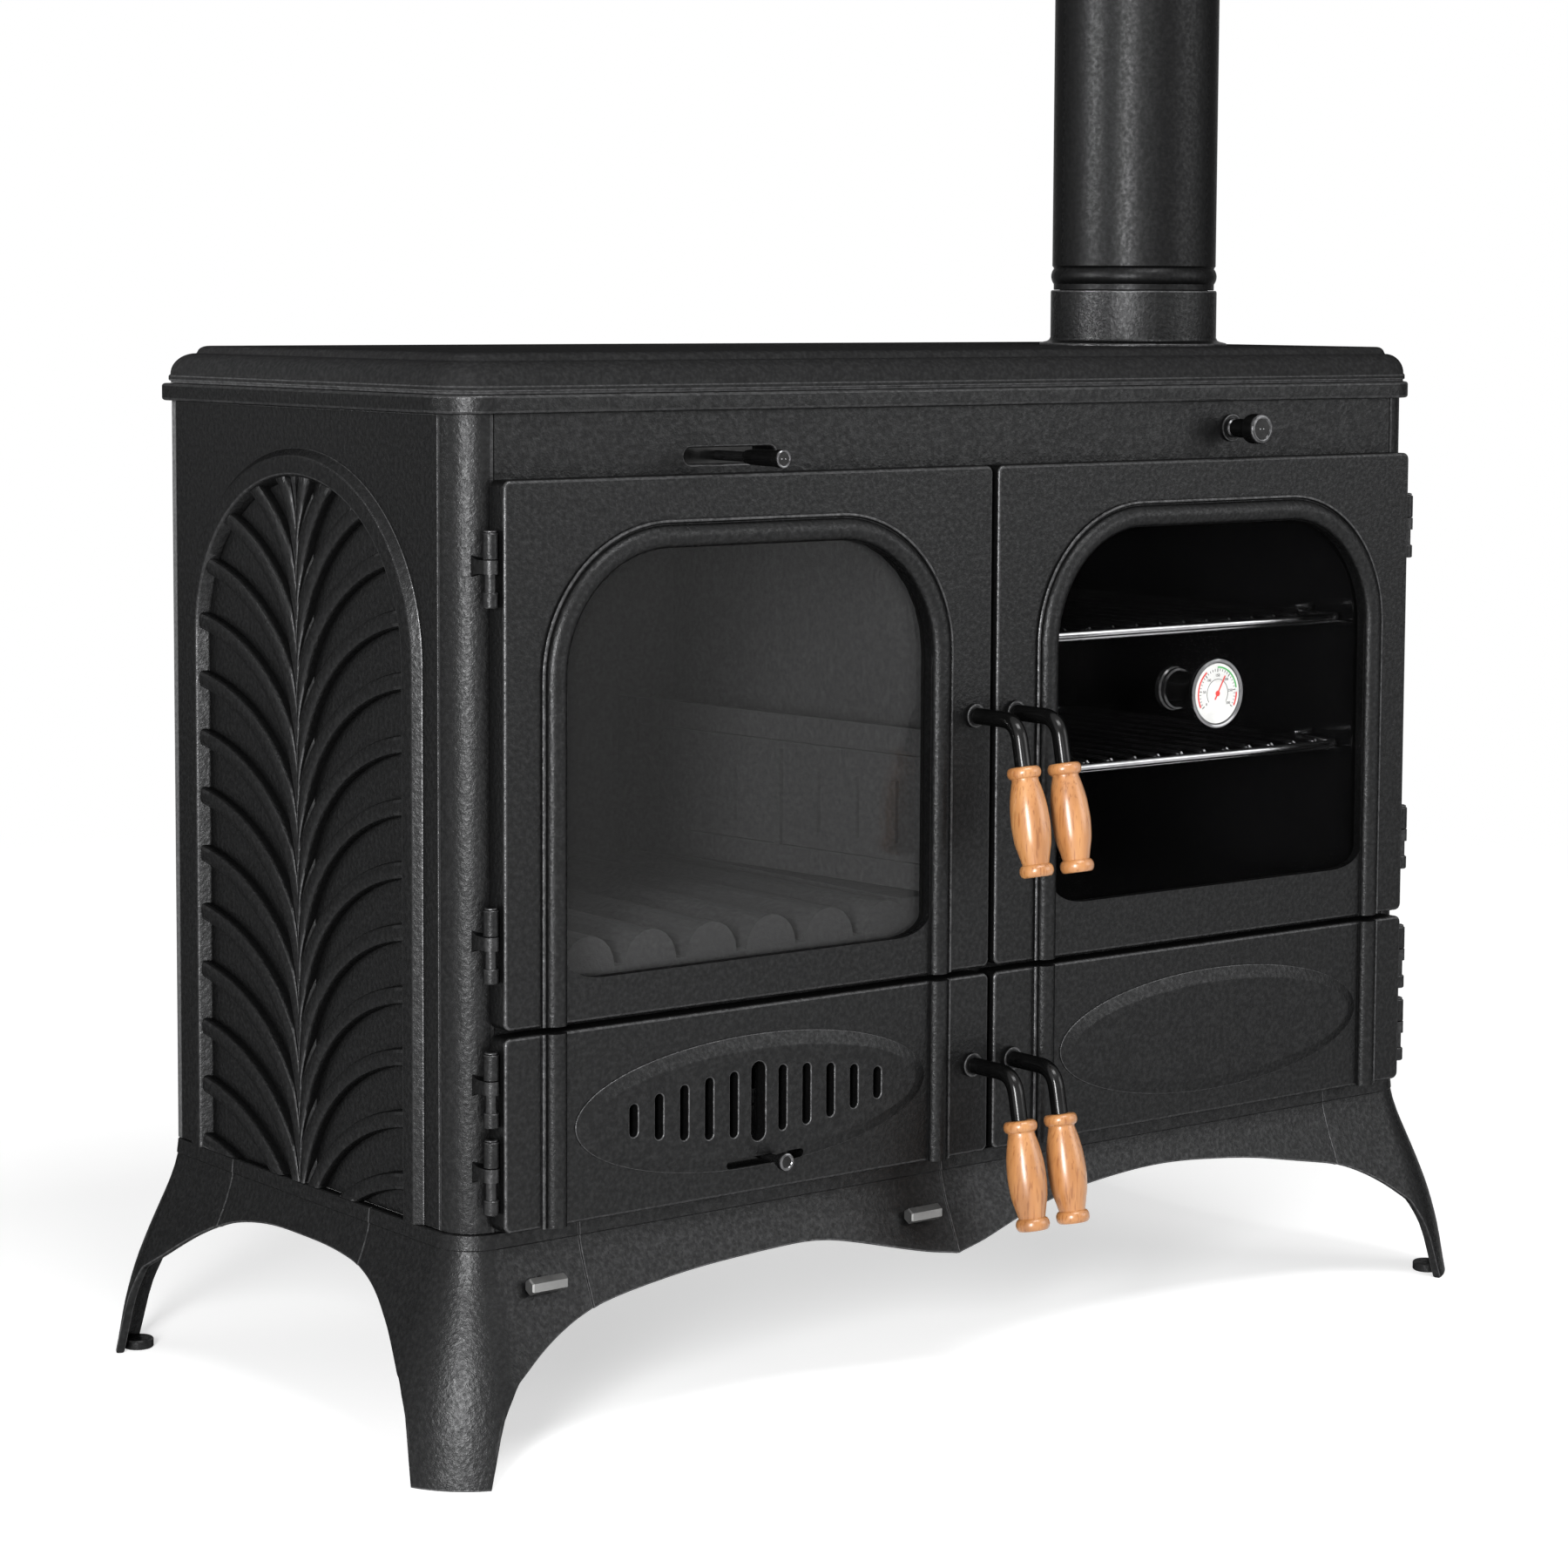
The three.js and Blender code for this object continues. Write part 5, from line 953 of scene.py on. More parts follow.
EDGE_BLEND = 22  # how far each way a lower edge is evened out
REAR_EDGE = [
    (REAR_CORNER, LEG_EDGE), (57, 98), (97, 115), (180, 133), (330, 143), (WIDTH / 2, 146),
    (WIDTH / 2 + EDGE_BLEND * 2, 146),
]
COLUMN_PITCH = 6
GUSSET_SPAN = 92
FOOT_PAD = 13


def splay_at(height):
    return smooth_value(SPLAY, height)


def wall_ring(x, y, nx, ny, low, sink=0.0):
    """The closed section of a splayed wall above one point of the body's outline."""
    def at(depth, z):
        band = BAND_STEP if z > BAND_LOW and depth == sink else 0.0
        out = splay_at(max(z, 0.0)) + LEG_PROUD - depth + band
        return (x + nx * out, y + ny * out, z)

    high = BAND_LOW - 1.0
    foot = low + 1.6
    return [
        at(sink + 0.7, LEG_TOP), at(sink, LEG_TOP - 0.7), at(sink, BAND_LOW + 0.1),
        *[at(sink, high + (foot - high) * j / WALL_ROWS) for j in range(WALL_ROWS + 1)],
        at(sink + 0.5, low + 0.5), at(sink + 1.8, low),
        at(LEG_WALL - 1.8, low), at(LEG_WALL - 0.5, low + 0.5),
        *[at(LEG_WALL, foot + (LEG_TOP - foot) * j / 8) for j in range(9)],
    ]


def splayed_wall(columns):
    """A wall through columns of (x, y, nx, ny, low), its two upright ends rounded over."""
    def end(column, neighbour):
        towards = (Vector(neighbour[:2]) - Vector(column[:2])).normalized()
        for distance, sink in ((0.0, 1.0), (0.3, 0.3), (1.0, 0.0)):
            x, y = Vector(column[:2]) + towards * distance
            yield wall_ring(x, y, *column[2:], sink)

    middle = [wall_ring(*column) for column in columns[1:-1]]
    return skin([*end(*columns[:2]), *middle, *reversed(list(end(columns[-1], columns[-2])))])


def columns_along(start, end, at, pitch=COLUMN_PITCH):
    count = max(int(abs(end - start) / pitch), 2)
    return [at(start + (end - start) * i / count) for i in range(count + 1)]


def even_value(points, x):
    """The curve's mean around one x, over less and less of it towards its ends."""
    reach = min(EDGE_BLEND, (x - points[0][0]) / 2, (points[-1][0] - x) / 2)
    return sum(smooth_value(points, x + reach * i / 4) for i in range(-4, 5)) / 9


def front_column(x):
    return (x, 0, 0, -1, even_value(FRONT_EDGE if x < APRON_SEAM else FRONT_EDGE_RIGHT, x))


def left_column(y):
    return (0, y, -1, 0, even_value(SIDE_EDGE, y))


def right_column(y):
    return (WIDTH, y, 1, 0, even_value(SIDE_EDGE, y))


def rear_column(x):
    return (x, DEPTH, 0, 1, even_value(REAR_EDGE, min(x, WIDTH - x)))


def leg(right, rear):
    """A corner leg: a splayed wall round the corner, a gusset under the body and a foot pad."""
    radius = REAR_CORNER if rear else PILLAR
    sx = -1 if right else 1
    sy = -1 if rear else 1

    def corner_at(x, y):
        return (WIDTH if right else 0) + sx * x, (DEPTH if rear else 0) + sy * y

    corner = []
    for degrees in range(-42, 43, 3):
        angle = radians(45 + degrees)
        x, y = corner_at(radius - radius * cos(angle), radius - radius * sin(angle))
        corner.append((x, y, -sx * cos(angle), -sy * sin(angle), smooth_value(FOOT_EDGE, abs(degrees))))
    near_x, near_y = corner_at(radius, radius)
    far_x, far_y = corner_at(LEG_REAR if rear else LEG_FRONT, LEG_REAR if rear else LEG_SIDE)
    wall = splayed_wall(
        columns_along(far_y, near_y, right_column if right else left_column)
        + corner + columns_along(near_x, far_x, rear_column if rear else front_column)
    )
    face = LEG_WALL - LEG_PROUD - 1
    corners = ((face, radius), (radius, face), (GUSSET_SPAN, face), (face, GUSSET_SPAN))
    gusset = [corner_at(*place) for place in corners]
    if sx * sy < 0:
        gusset.reverse()
    pad_out = splay_at(0) + LEG_PROUD - LEG_WALL - FOOT_PAD + 3
    pad = radius - (radius + pad_out) * sqrt(0.5)
    return join(
        solid(wall), slab(gusset, LEG_TOP - 7, LEG_TOP - 0.2),
        moved(rod(FOOT_PAD, 0, 8, 32, 1), *corner_at(pad, pad)),
    )


PEG_Z = 142
PEG_CENTRES = (64, 439)
PEG_LENGTH = 33
PEG_ACROSS = 11.5
SKIRT_FACE = -splay_at(PEG_Z) - LEG_PROUD
PEG_TIP = SKIRT_FACE - 2 - FIT


def peg_lug(x):
    """The stub that a zinc peg is held on, out of the skirt's face."""
    root = SKIRT_FACE - PEG_TIP
    return facing(lathe(PEG_TIP, [
        (0, 0), (3.6, 0), (4, 0.4), (4.4, root + 1), (4.4, root + 4), (0, root + 4),
    ], 24), x, PEG_Z)


def pegs():
    """Two hexagonal zinc bars held ahead of the skirt, their ends chamfered."""
    radius = PEG_ACROSS / sqrt(3)
    y = PEG_TIP - FIT - PEG_ACROSS / 2
    half = PEG_LENGTH / 2
    for name, x in zip(("left", "right"), PEG_CENTRES):
        rings = []
        for along, size in ((-half, 0.82), (-half + 1.2, 1.0), (half - 1.2, 1.0), (half, 0.82)):
            hexagon = arc(y, PEG_Z, radius * size, radius * size, 30, 330, 5)
            rings.append([(x + along, *point) for point in hexagon])
        settle("zinc_peg_" + name, solid(skin(rings)), "ash_lip_peg_" + name, "zinc", sharp=20)


def skirt():
    """Four legs, and the aprons between them, with pegs' stubs on the front ones."""
    for right in (False, True):
        for rear in (False, True):
            name = ("rear" if rear else "front") + ("_right" if right else "_left")
            made = leg(right, rear)
            if name == "front_left":
                made = join(made, peg_lug(PEG_CENTRES[0]))
            settle("splayed_leg_" + name, made, "leg_" + name)
    seam = FIT / 2
    sides = (LEG_SIDE + FIT, DEPTH - LEG_REAR - FIT)
    walls = {
        "front_left": columns_along(LEG_FRONT + FIT, APRON_SEAM - seam, front_column),
        "front_right": columns_along(APRON_SEAM + seam, WIDTH - LEG_FRONT - FIT, front_column),
        "left": columns_along(*sides, left_column),
        "right": columns_along(*sides, right_column),
        "rear": columns_along(LEG_REAR + FIT, WIDTH - LEG_REAR - FIT, rear_column, 2 * COLUMN_PITCH),
    }
    for name, columns in walls.items():
        made = solid(splayed_wall(columns))
        if name == "front_left":
            made = join(made, peg_lug(PEG_CENTRES[1]))
        settle("skirt_" + name, made, "apron_" + name)


# ------------------------------------------------------------------ doors
def bead_section():
    """Across the raised moulding: a fine fillet outside, a quirk, then a half round."""
    fillet = [(0, -1), (0, 2.0), (0.5, 2.7), (1.3, 3.0), (2.2, 2.8), (2.9, 1.9), (3.4, 1.2), (4.0, 1.2)]
    swell = arc((4.0 + BEAD_WIDTH) / 2, 1.0, (BEAD_WIDTH - 4.0) / 2, BEAD_HEIGHT - 1.0, 176, 4, 14)
    return fillet + swell + [(BEAD_WIDTH, 0.5), (BEAD_WIDTH, -1)]


def bead_ends(column):
    """The outer X places of a door's moulding, left and right."""
    insets = (BEAD_HINGE_INSET, BEAD_HANDLE_INSET)[::-column.outward]
    return column.start + insets[0], column.end - insets[1]


def window_outline(x0, x1, low, inset):
    radius = BEAD_ARCH - BEAD_WIDTH - inset
    trim = BEAD_WIDTH + inset
    corners = (*WINDOW_CORNER, 12), (radius, radius, 24)
    return cornered(x0 + trim, x1 - trim, low + inset, BEAD_TOP - trim, *corners)


def knuckles(column, row):
    """The barrels round each pin above and below its lug, joined to the door's edge."""
    axis = hinge_axis(column)
    near, far = sorted((axis, hinge_edge(column) - column.outward * (DOOR_RETURN - 1)))
    neck, length = KNUCKLE_NECK
    shapes = []
    for z in row.hinges:
        under = z - LUG_GAP
        over = z + LUG_GAP
        for low, high in ((over, over + KNUCKLE_ABOVE), (under - KNUCKLE_BELOW, under - length)):
            shapes.append(moved(rod(KNUCKLE, low, high, 28, KNUCKLE_EASE), axis, HINGE_Y))
            shapes.append(block(near, far, HINGE_Y, HINGE_Y + 4, low + 0.3, high - 0.3))
        shapes.append(moved(rod(neck, under - length - 0.5, under, 24), axis, HINGE_Y))
    return shapes


def cast_door(node, relief, tools, rails=()):
    """A door: its hollow-backed blank, its relief and handle seat, its holes, knuckles and rails."""
    column, row = DOORS[node]
    x0, x1, z0, z1 = column.start, column.end, row.low, row.high
    t = DOOR_RETURN
    made = cut(
        solid(front(prism(
            rounded_box(x0, x1, z0, z1, DOOR_CORNER), round_over(DOOR_FACE, DOOR_BACK, DOOR_EASE, 1.0, 4),
        ))),
        block(x0 + t, x1 - t, DOOR_SKIN_BACK, 1, z0 + t, z1 - t),
    )
    seat = lathe(DOOR_FACE - 4, [
        (0, 0.4), (7.6, 0.4), (8.0, 0), (9.2, 0), (9.8, 0.4), (10, 1), (10, 5), (0, 5),
    ], 40)
    handle = column.handle, row.handle
    made = join(made, *relief, facing(seat, *handle))
    made = cut(made, *tools, facing(rod(SPINDLE + FIT, -30, 1, 28), *handle))
    made = join(made, *knuckles(column, row), *rails)
    settle(node + "_casting", made, node, body=node)


def upper_door(node, window_low):
    """A door with an arched moulding round its window."""
    column, row = DOORS[node]
    x0, x1 = bead_ends(column)
    r = BEAD_ARCH
    low = row.low + 0.05
    path = [
        (x1, low), *arc(x1 - r, BEAD_TOP - r, r, r, 0, 90, 28),
        *arc(x0 + r, BEAD_TOP - r, r, r, 90, 180, 28), (x0, low),
    ]
    window = window_outline(x0, x1, window_low, 0.2)
    cast_door(node, [on_door(sweep(path, bead_section()))], [front(slab(window, -40, 2))])


OVAL_Z = 259
OVAL_HALF_HEIGHT = 53.5
OVAL_MARGIN = 7
OVAL_SHIFT = 2
OVAL_RAMP = [(0, -1), (0, 0.7), (0.5, 1.2), (10.8, 4.2), (12.6, 4.5)]
OVAL_HEIGHT = OVAL_RAMP[-1][1]
SLOT_COUNT = 11
SLOT_PITCH = 24.3
SLOT_WIDTH = 8
SLOT_REACH = 53.6
SLOT_SHORTENING = 1.12
CENTRE_SLOT = (14, 63.5)
REGISTER_SLOT = (234, 311, 211, 8)
REGISTER_RAILS = (296.5, 197.5)
RAIL_REACH = (192, 182)  # to the left and right of the oval's middle


def oval_place(column):
    """The X of the oval's middle, and half its width."""
    x0, x1 = bead_ends(column)
    return (x0 + x1) / 2 + OVAL_SHIFT, (x1 - x0) / 2 - BEAD_WIDTH - OVAL_MARGIN


def air_slots(centre):
    middle = (SLOT_COUNT - 1) / 2
    outlines = []
    for i in range(SLOT_COUNT):
        away = abs(i - middle)
        half_length = (SLOT_REACH - SLOT_SHORTENING * away * away if away else CENTRE_SLOT[1]) / 2
        half = (SLOT_WIDTH if away else CENTRE_SLOT[0]) / 2
        x = centre + (i - middle) * SLOT_PITCH
        outlines.append(
            rounded_box(x - half, x + half, OVAL_Z - half_length, OVAL_Z + half_length, half - 0.01, 8))
    return outlines


def lower_door(node, slotted):
    """A door with two upright mouldings and a raised oval, slotted for air where asked."""
    column, row = DOORS[node]
    x0, x1 = bead_ends(column)
    oval, half = oval_place(column)
    low, high = row.low + 0.05, row.high - 0.05
    rings = []
    for inset, height in OVAL_RAMP:
        ring = arc(oval, OVAL_Z, half - inset, OVAL_HALF_HEIGHT - inset, 0, 360, 120)[:-1]
        rings.append([(x, z, height) for x, z in ring])
    relief = [sweep([(x0, high), (x0, low)], bead_section()), sweep([(x1, low), (x1, high)], bead_section())]
    tools = []
    rails = []
    if slotted:
        outlines = [*air_slots(oval), slot_outline(*REGISTER_SLOT)]
        tools = [eased_slot(outline, DOOR_FACE - OVAL_HEIGHT, 2, 1.0) for outline in outlines]
        left, right = RAIL_REACH
        rails = [block(oval - left, oval + right, DOOR_SKIN_BACK - 1, DOOR_SKIN_BACK + 3, z, z + 4)
                 for z in REGISTER_RAILS]
    cast_door(node, [on_door(shape) for shape in (*relief, skin(rings))], tools, rails)


def doors():
    upper_door("fire_door", FIRE_WINDOW_LOW)
    upper_door("oven_door", OVEN_WINDOW_LOW)
    lower_door("ash_door", True)
    lower_door("storage_door", False)


# ------------------------------------------------------------------ hinge pins and handles
def hinge_pins():
    foot = -LUG_GAP - KNUCKLE_BELOW
    top = LUG_GAP + KNUCKLE_ABOVE + FIT
    profile = [
        (0, foot), (2.5, foot), (3, foot + 0.5), (3, top), (4.6, top), (5, top + 0.4), (4.9, top + 1.2),
        (3.6, top + 1.8), (0, top + 2),
    ]
    for door, (column, row) in DOORS.items():
        for end, z in zip(("lower", "upper"), row.hinges):
            pin = moved(lathe(z, profile, 24), hinge_axis(column), HINGE_Y)
            node = door + "_hinge_pin_" + end
            settle(node + "_turned", solid(pin), node, body=door)


CAM = (17, 10, 5)  # length, width, thickness
CAM_Y = WALL + 1
TANG = 4
TANG_LENGTH = 62
LEVER_CORNER = Vector((0, DOOR_FACE - LEVER_REACH, 0))
LEVER_START = DOOR_FACE - 4 - FIT


def hang(distance):
    """A point that far down the leaning part of a lever, from the lever's corner."""
    return LEVER_CORNER - Vector((0, sin(LEVER_LEAN), cos(LEVER_LEAN))) * distance


def lever_path():
    """Out of the door, round the bend and down to the grip."""
    before = LEVER_CORNER + Vector((0, LEVER_BEND, 0))
    after = hang(LEVER_BEND)
    start = Vector((0, LEVER_START, 0))
    path = [start, Vector((0, LEVER_START - 0.8, 0)), *[start.lerp(before, i / 4) for i in (1, 2, 3)]]
    for i in range(13):
        t = i / 12
        path.append(before * (1 - t) ** 2 + LEVER_CORNER * (2 * t * (1 - t)) + after * t * t)
    return path + [after.lerp(hang(GRIP_DROP), i / 2) for i in (1, 2)]


GRIP_NECK = 10.6
COLLAR = 14
BELLY = [(-79.5, 11.0), (-72, 12.7), (-61, 15.1), (-47, 16.0), (-34, 15.4), (-21, 13.4), (-11, 10.9)]
GRIP_BORE = (4.3, 66)


def leaning_grip():
    """A turned beech grip: a collar, a long belly and a broader foot ring, bored for the tang."""
    bore, depth = GRIP_BORE
    swell = COLLAR - GRIP_NECK
    low = arc(GRIP_NECK, 5.2 - GRIP_LENGTH, swell, 5.2, -90, 80, 10)
    high = arc(GRIP_NECK, -5, swell, 4.8, -80, 90, 10)
    belly = [(smooth_value(BELLY, z), z) for z in [-79.5 + 68.5 * i / 20 for i in range(21)]]
    profile = [(0, -GRIP_LENGTH), *low, *belly, *high, (bore, -0.2), (bore, -depth), (0, -depth)]
    points, faces = lathe(0, profile, 40)
    lean = Matrix.Translation(hang(GRIP_DROP + FIT)) @ Matrix.Rotation(-LEVER_LEAN, 4, "X")
    return [tuple(lean @ Vector(point)) for point in points], faces


def levers_and_grips():
    path = lever_path()
    lever = tube(path, [LEVER_RADIUS - 0.8] + [LEVER_RADIUS] * (len(path) - 1), 28)
    tang = tube([hang(GRIP_DROP - 1), hang(GRIP_DROP + TANG_LENGTH)], TANG, 16)
    length, width, thickness = CAM
    back = CAM_Y + thickness
    low = LEVER_START - 1
    spindle = lathe(0, [
        (0, low), (SPINDLE, low), (SPINDLE, back - 0.5), (SPINDLE - 0.5, back), (0, back),
    ], 24)
    cam = prism(rounded_box(-width / 2, width / 2, -4, length, 3), round_over(CAM_Y, back, 0.4, 0.4, 1))
    for door, (column, row) in DOORS.items():
        x, z = column.handle, row.handle
        body = door + "_handle"
        made = join(
            solid(moved(lever, x, 0, z)), moved(tang, x, 0, z), facing(spindle, x, z), facing(cam, x, z),
        )
        settle(door + "_bent_lever", made, door + "_lever", "black_gloss", body, sharp=40)
        settle(door + "_turned_grip", solid(moved(leaning_grip(), x, 0, z)), door + "_grip", "beech", body)


# ------------------------------------------------------------------ knobs
AIR_KNOB = (245, 770)
AIR_KNOB_TIP = -79
SHUTTER = (34, 16)  # half its width and height
DAMPER_FACE = -40
DAMPER_PLATE = (60, 22, 118, 121)  # half its width and height, and its front and back
REGISTER_KNOB = (279, 211)
REGISTER_TIP = DOOR_FACE - OVAL_HEIGHT - 18
REGISTER_HALF = 162
REGISTER_HEIGHTS = (202, 296)
REGISTER_Y = DOOR_SKIN_BACK + FIT


def pips(x, y, z, apart, size):
    """Two small bright beads on a knob's face."""
    dome = [(0, -size * 0.6), (size * 0.6, -size * 0.45), (size, 0), (size, 0.6), (0, 0.6)]
    return [facing(lathe(y, dome, 14), x + side_way * apart, z) for side_way in (-1, 1)]


def air_slider():
    """The push rod over the fire door, with its shutter behind the header."""
    x, z = AIR_KNOB
    inner = WALL + 2 - AIR_KNOB_TIP
    knob = lathe(AIR_KNOB_TIP, [
        (0, 0.7), (5.1, 0.7), (5.5, 0.2), (6.3, 0), (7.0, 0.5), (7.2, 1.6), (7.2, 7), (6.9, 8.4), (6.5, 9.2),
        (6.5, 24), (6.0, 42), (5.4, 47), (4.6, 48), (4, 48), (4, inner), (0, inner),
    ], 40)
    half, tall = SHUTTER
    shutter = block(x - half, x + half, WALL + FIT, WALL + FIT + 2, z - tall, z + tall)
    made = join(solid(facing(knob, x, z)), shutter, *pips(x, AIR_KNOB_TIP + 0.7, z, 1.9, 0.8))
    settle("air_slider_knob", made, "air_slider", "black_gloss", "air_slider")


def flue_damper():
    """The pull knob over the oven door, with the damper plate at the far end of its rod."""
    x, z = DAMPER
    seat = -ROSE - FIT - DAMPER_FACE
    half, tall, near, far = DAMPER_PLATE
    end = far - 1 - DAMPER_FACE
    knob = lathe(DAMPER_FACE, [
        (0, 0.9), (8.6, 0.9), (9.2, 0.3), (10.4, 0), (12.0, 0.5), (12.8, 1.6), (13, 3), (13, 12),
        (12.4, 14.2), (10.6, 16), (8.7, 17.6), (8.3, 20), (8.3, 28), (7.4, 29), (7.4, seat - 3.2),
        (8.4, seat - 2.2), (8.4, seat - 0.5), (8, seat), (DAMPER_ROD, seat), (DAMPER_ROD, end), (0, end),
    ], 48)
    plate = block(x - half, x + half, near, far, z - tall, z + tall)
    made = join(solid(facing(knob, x, z)), plate, *pips(x, DAMPER_FACE + 0.9, z, 2.0, 0.9))
    settle("flue_damper_knob", made, "flue_damper", "black_gloss", "flue_damper")


def air_register():
    """The slotted plate behind the ash door, with the knob that slides it."""
    centre, _ = oval_place(LEFT)
    y = REGISTER_Y
    plate = rounded_box(centre - REGISTER_HALF, centre + REGISTER_HALF, *REGISTER_HEIGHTS, 3, 3)
    made = cut(
        solid(front(slab(plate, y, y + 2))), *[front(slab(slot, y - 2, y + 4)) for slot in air_slots(centre)],
    )
    inner = y + 1 - REGISTER_TIP
    knob = lathe(REGISTER_TIP, [
        (0, 0.6), (4.4, 0.6), (4.9, 0.1), (5.8, 0), (6.9, 0.5), (7.2, 1.6), (7.2, 5), (6.6, 6.6),
        (5.6, 7.4), (5.6, 9.4), (4.6, 11.5), (3.2, 13), (3.2, inner), (0, inner),
    ], 32)
    made = join(made, facing(knob, *REGISTER_KNOB))
    settle("air_register_slide", made, "air_register", "black_gloss", "air_register")


# ------------------------------------------------------------------ the oven's thermometer
THERMOMETER = (719.5, 560)
DIAL_FRONT = -71
DIAL_FACE = DIAL_FRONT + 1.2
DIAL_PRINT = DIAL_FACE - 0.02  # the back of what is printed on the dial
DIAL_SWEEP = (215, -35)  # the scale's start and end, in degrees from the right, turning clockwise
DIAL_STEPS = 30
DIAL_READING = 0.62
DIAL_NUMBERS = (7, 50, 3.4, 15.4)  # how many, the step between them, their size and their radius


def dial_degrees(share):
    return DIAL_SWEEP[0] + (DIAL_SWEEP[1] - DIAL_SWEEP[0]) * share


def printed(outline):
    """A thin raised print of an outline drawn round the dial's middle."""
    x, z = THERMOMETER
    return moved(front(slab(outline, DIAL_PRINT - 0.25, DIAL_PRINT)), x, 0, z)


def dial_arc(radius, width, start, end):
    """A band on the dial's face, between two shares of the scale."""
    first, last = dial_degrees(start), dial_degrees(end)
    steps = max(int(abs(last - first) / 6), 1)
    outer, inner = radius + width / 2, radius - width / 2
    return printed(arc(0, 0, outer, outer, last, first, steps) + arc(0, 0, inner, inner, first, last, steps))


def dial_tick(share, low, high, width):
    """A bar along the dial's radius at one share of the scale."""
    c, s = cos(radians(dial_degrees(share))), sin(radians(dial_degrees(share)))
    half = width / 2
    corners = [(low, -half), (high, -half), (high, half), (low, half)]
    return printed([(a * c - b * s, a * s + b * c) for a, b in corners])


def dial_numbers():
    """Plain temperatures round the scale, as raised print."""
    count, step, size, radius = DIAL_NUMBERS
    shapes = []
    for i in range(count):
        text = bpy.data.curves.new("number", "FONT")
        text.body = str(i * step)
        text.size = size
        text.align_x = "CENTER"
        text.align_y = "CENTER"
        text.extrude = 0.12
        text.resolution_u = 2
        body = linked("number", text)
        mesh = baked(body)
        turn = radians(dial_degrees(i / (count - 1)))
        x = THERMOMETER[0] + radius * cos(turn)
        z = THERMOMETER[1] + radius * sin(turn)
        points = [(x + v.co.x, DIAL_PRINT - v.co.z, z + v.co.y) for v in mesh.vertices]
        shapes.append((points, [tuple(face.vertices) for face in mesh.polygons]))
        bpy.data.objects.remove(body)
    return shapes


def thermometer():
    """The case in two finishes, its dial, and the print, needle and hub on it."""
    depth = DOOR_SKIN_BACK - DIAL_FRONT
    case = {
        "thermometer_bezel": ("dark_chrome", [
            (0, 2.5), (26.0, 2.5), (26.2, 1.4), (26.9, 0.4), (28.2, 0), (29.3, 0.5), (29.9, 1.5), (30, 2.8),
            (29.6, 4.2), (28.8, 5.2), (28.2, 6.2), (0, 6.2),
        ]),
        "thermometer_neck": ("black_gloss", [
            (0, 6.3), (28, 6.3), (27.4, 7.4), (24, 9.4), (20.4, 12.5), (18, 17), (16.6, 23), (15.8, 30),
            (15.5, depth - 11), (15.9, depth - 10), (17.6, depth - 9.2), (17.8, depth - 6.4),
            (17.6, depth - 6), (19, depth - 4.8), (19, depth), (0, depth),
        ]),
    }
    for name, (look, profile) in case.items():
        made = solid(facing(lathe(DIAL_FRONT, profile, 64), *THERMOMETER))
        settle(name, made, "oven_thermometer", look, "oven_door", slot="chrome")
    face = lathe(DIAL_FACE, [(0, 0), (25.4, 0), (25.7, 0.3), (25.7, 1), (0, 1)], 64)
    settle("thermometer_face", solid(facing(face, *THERMOMETER)), "thermometer_dial", "dial", "oven_door")
    ticks = [dial_tick(i / DIAL_STEPS, 19.2 if i % 5 else 18.4, 21.2, 0.35 if i % 5 else 0.6)
             for i in range(DIAL_STEPS + 1)]
    hub = lathe(DIAL_PRINT, [(0, -0.95), (1.9, -0.95), (2.3, -0.7), (2.3, -0.3), (0, -0.3)], 24)
    print_on_dial = {
        "dial_scale": ("dial_black", [*ticks, dial_arc(12.2, 0.3, 0, 1), *dial_numbers()]),
        "dial_red_arc": ("dial_red", [dial_arc(22.4, 1.3, 0.02, 0.36), dial_arc(22.4, 1.3, 0.86, 0.98)]),
        "dial_green_arc": ("dial_green", [dial_arc(22.4, 1.3, 0.5, 0.82)]),
        "dial_needle": ("dial_red", [moved(dial_tick(DIAL_READING, -6, 17, 1.1), 0, -0.35)]),
        "dial_hub": ("dial_red", [facing(hub, *THERMOMETER)]),
    }
    for name, (look, shapes) in print_on_dial.items():
        settle(name, solid(*shapes), None, look, "oven_door", slot="dial")


# ------------------------------------------------------------------ inside the oven and the doors
OVEN = (523, 986)  # the clear width between the oven's walls
OVEN_BACK = 399
RACK_RUN = (WALL + 30, OVEN_BACK - 9.5)
RACK_HEIGHTS = {"lower": 490, "upper": 606}
RACK_ROD = 3.5
RACK_RUNGS = 15
RACK_CLEARANCE = 4
SEAL_INSET = DOOR_RETURN + 3
SEAL_Y = -6.5
SEAL_HALF = (2.4, 6.1)  # half the rope's width and depth, pressed as it is
ROPE_STRANDS = 3
ROPE_GROOVE = 0.07  # how deep the strands' grooves are, as a share of the radius
ROPE_STEP = 4
ROPE_TWIST = 1.05  # radians in each step


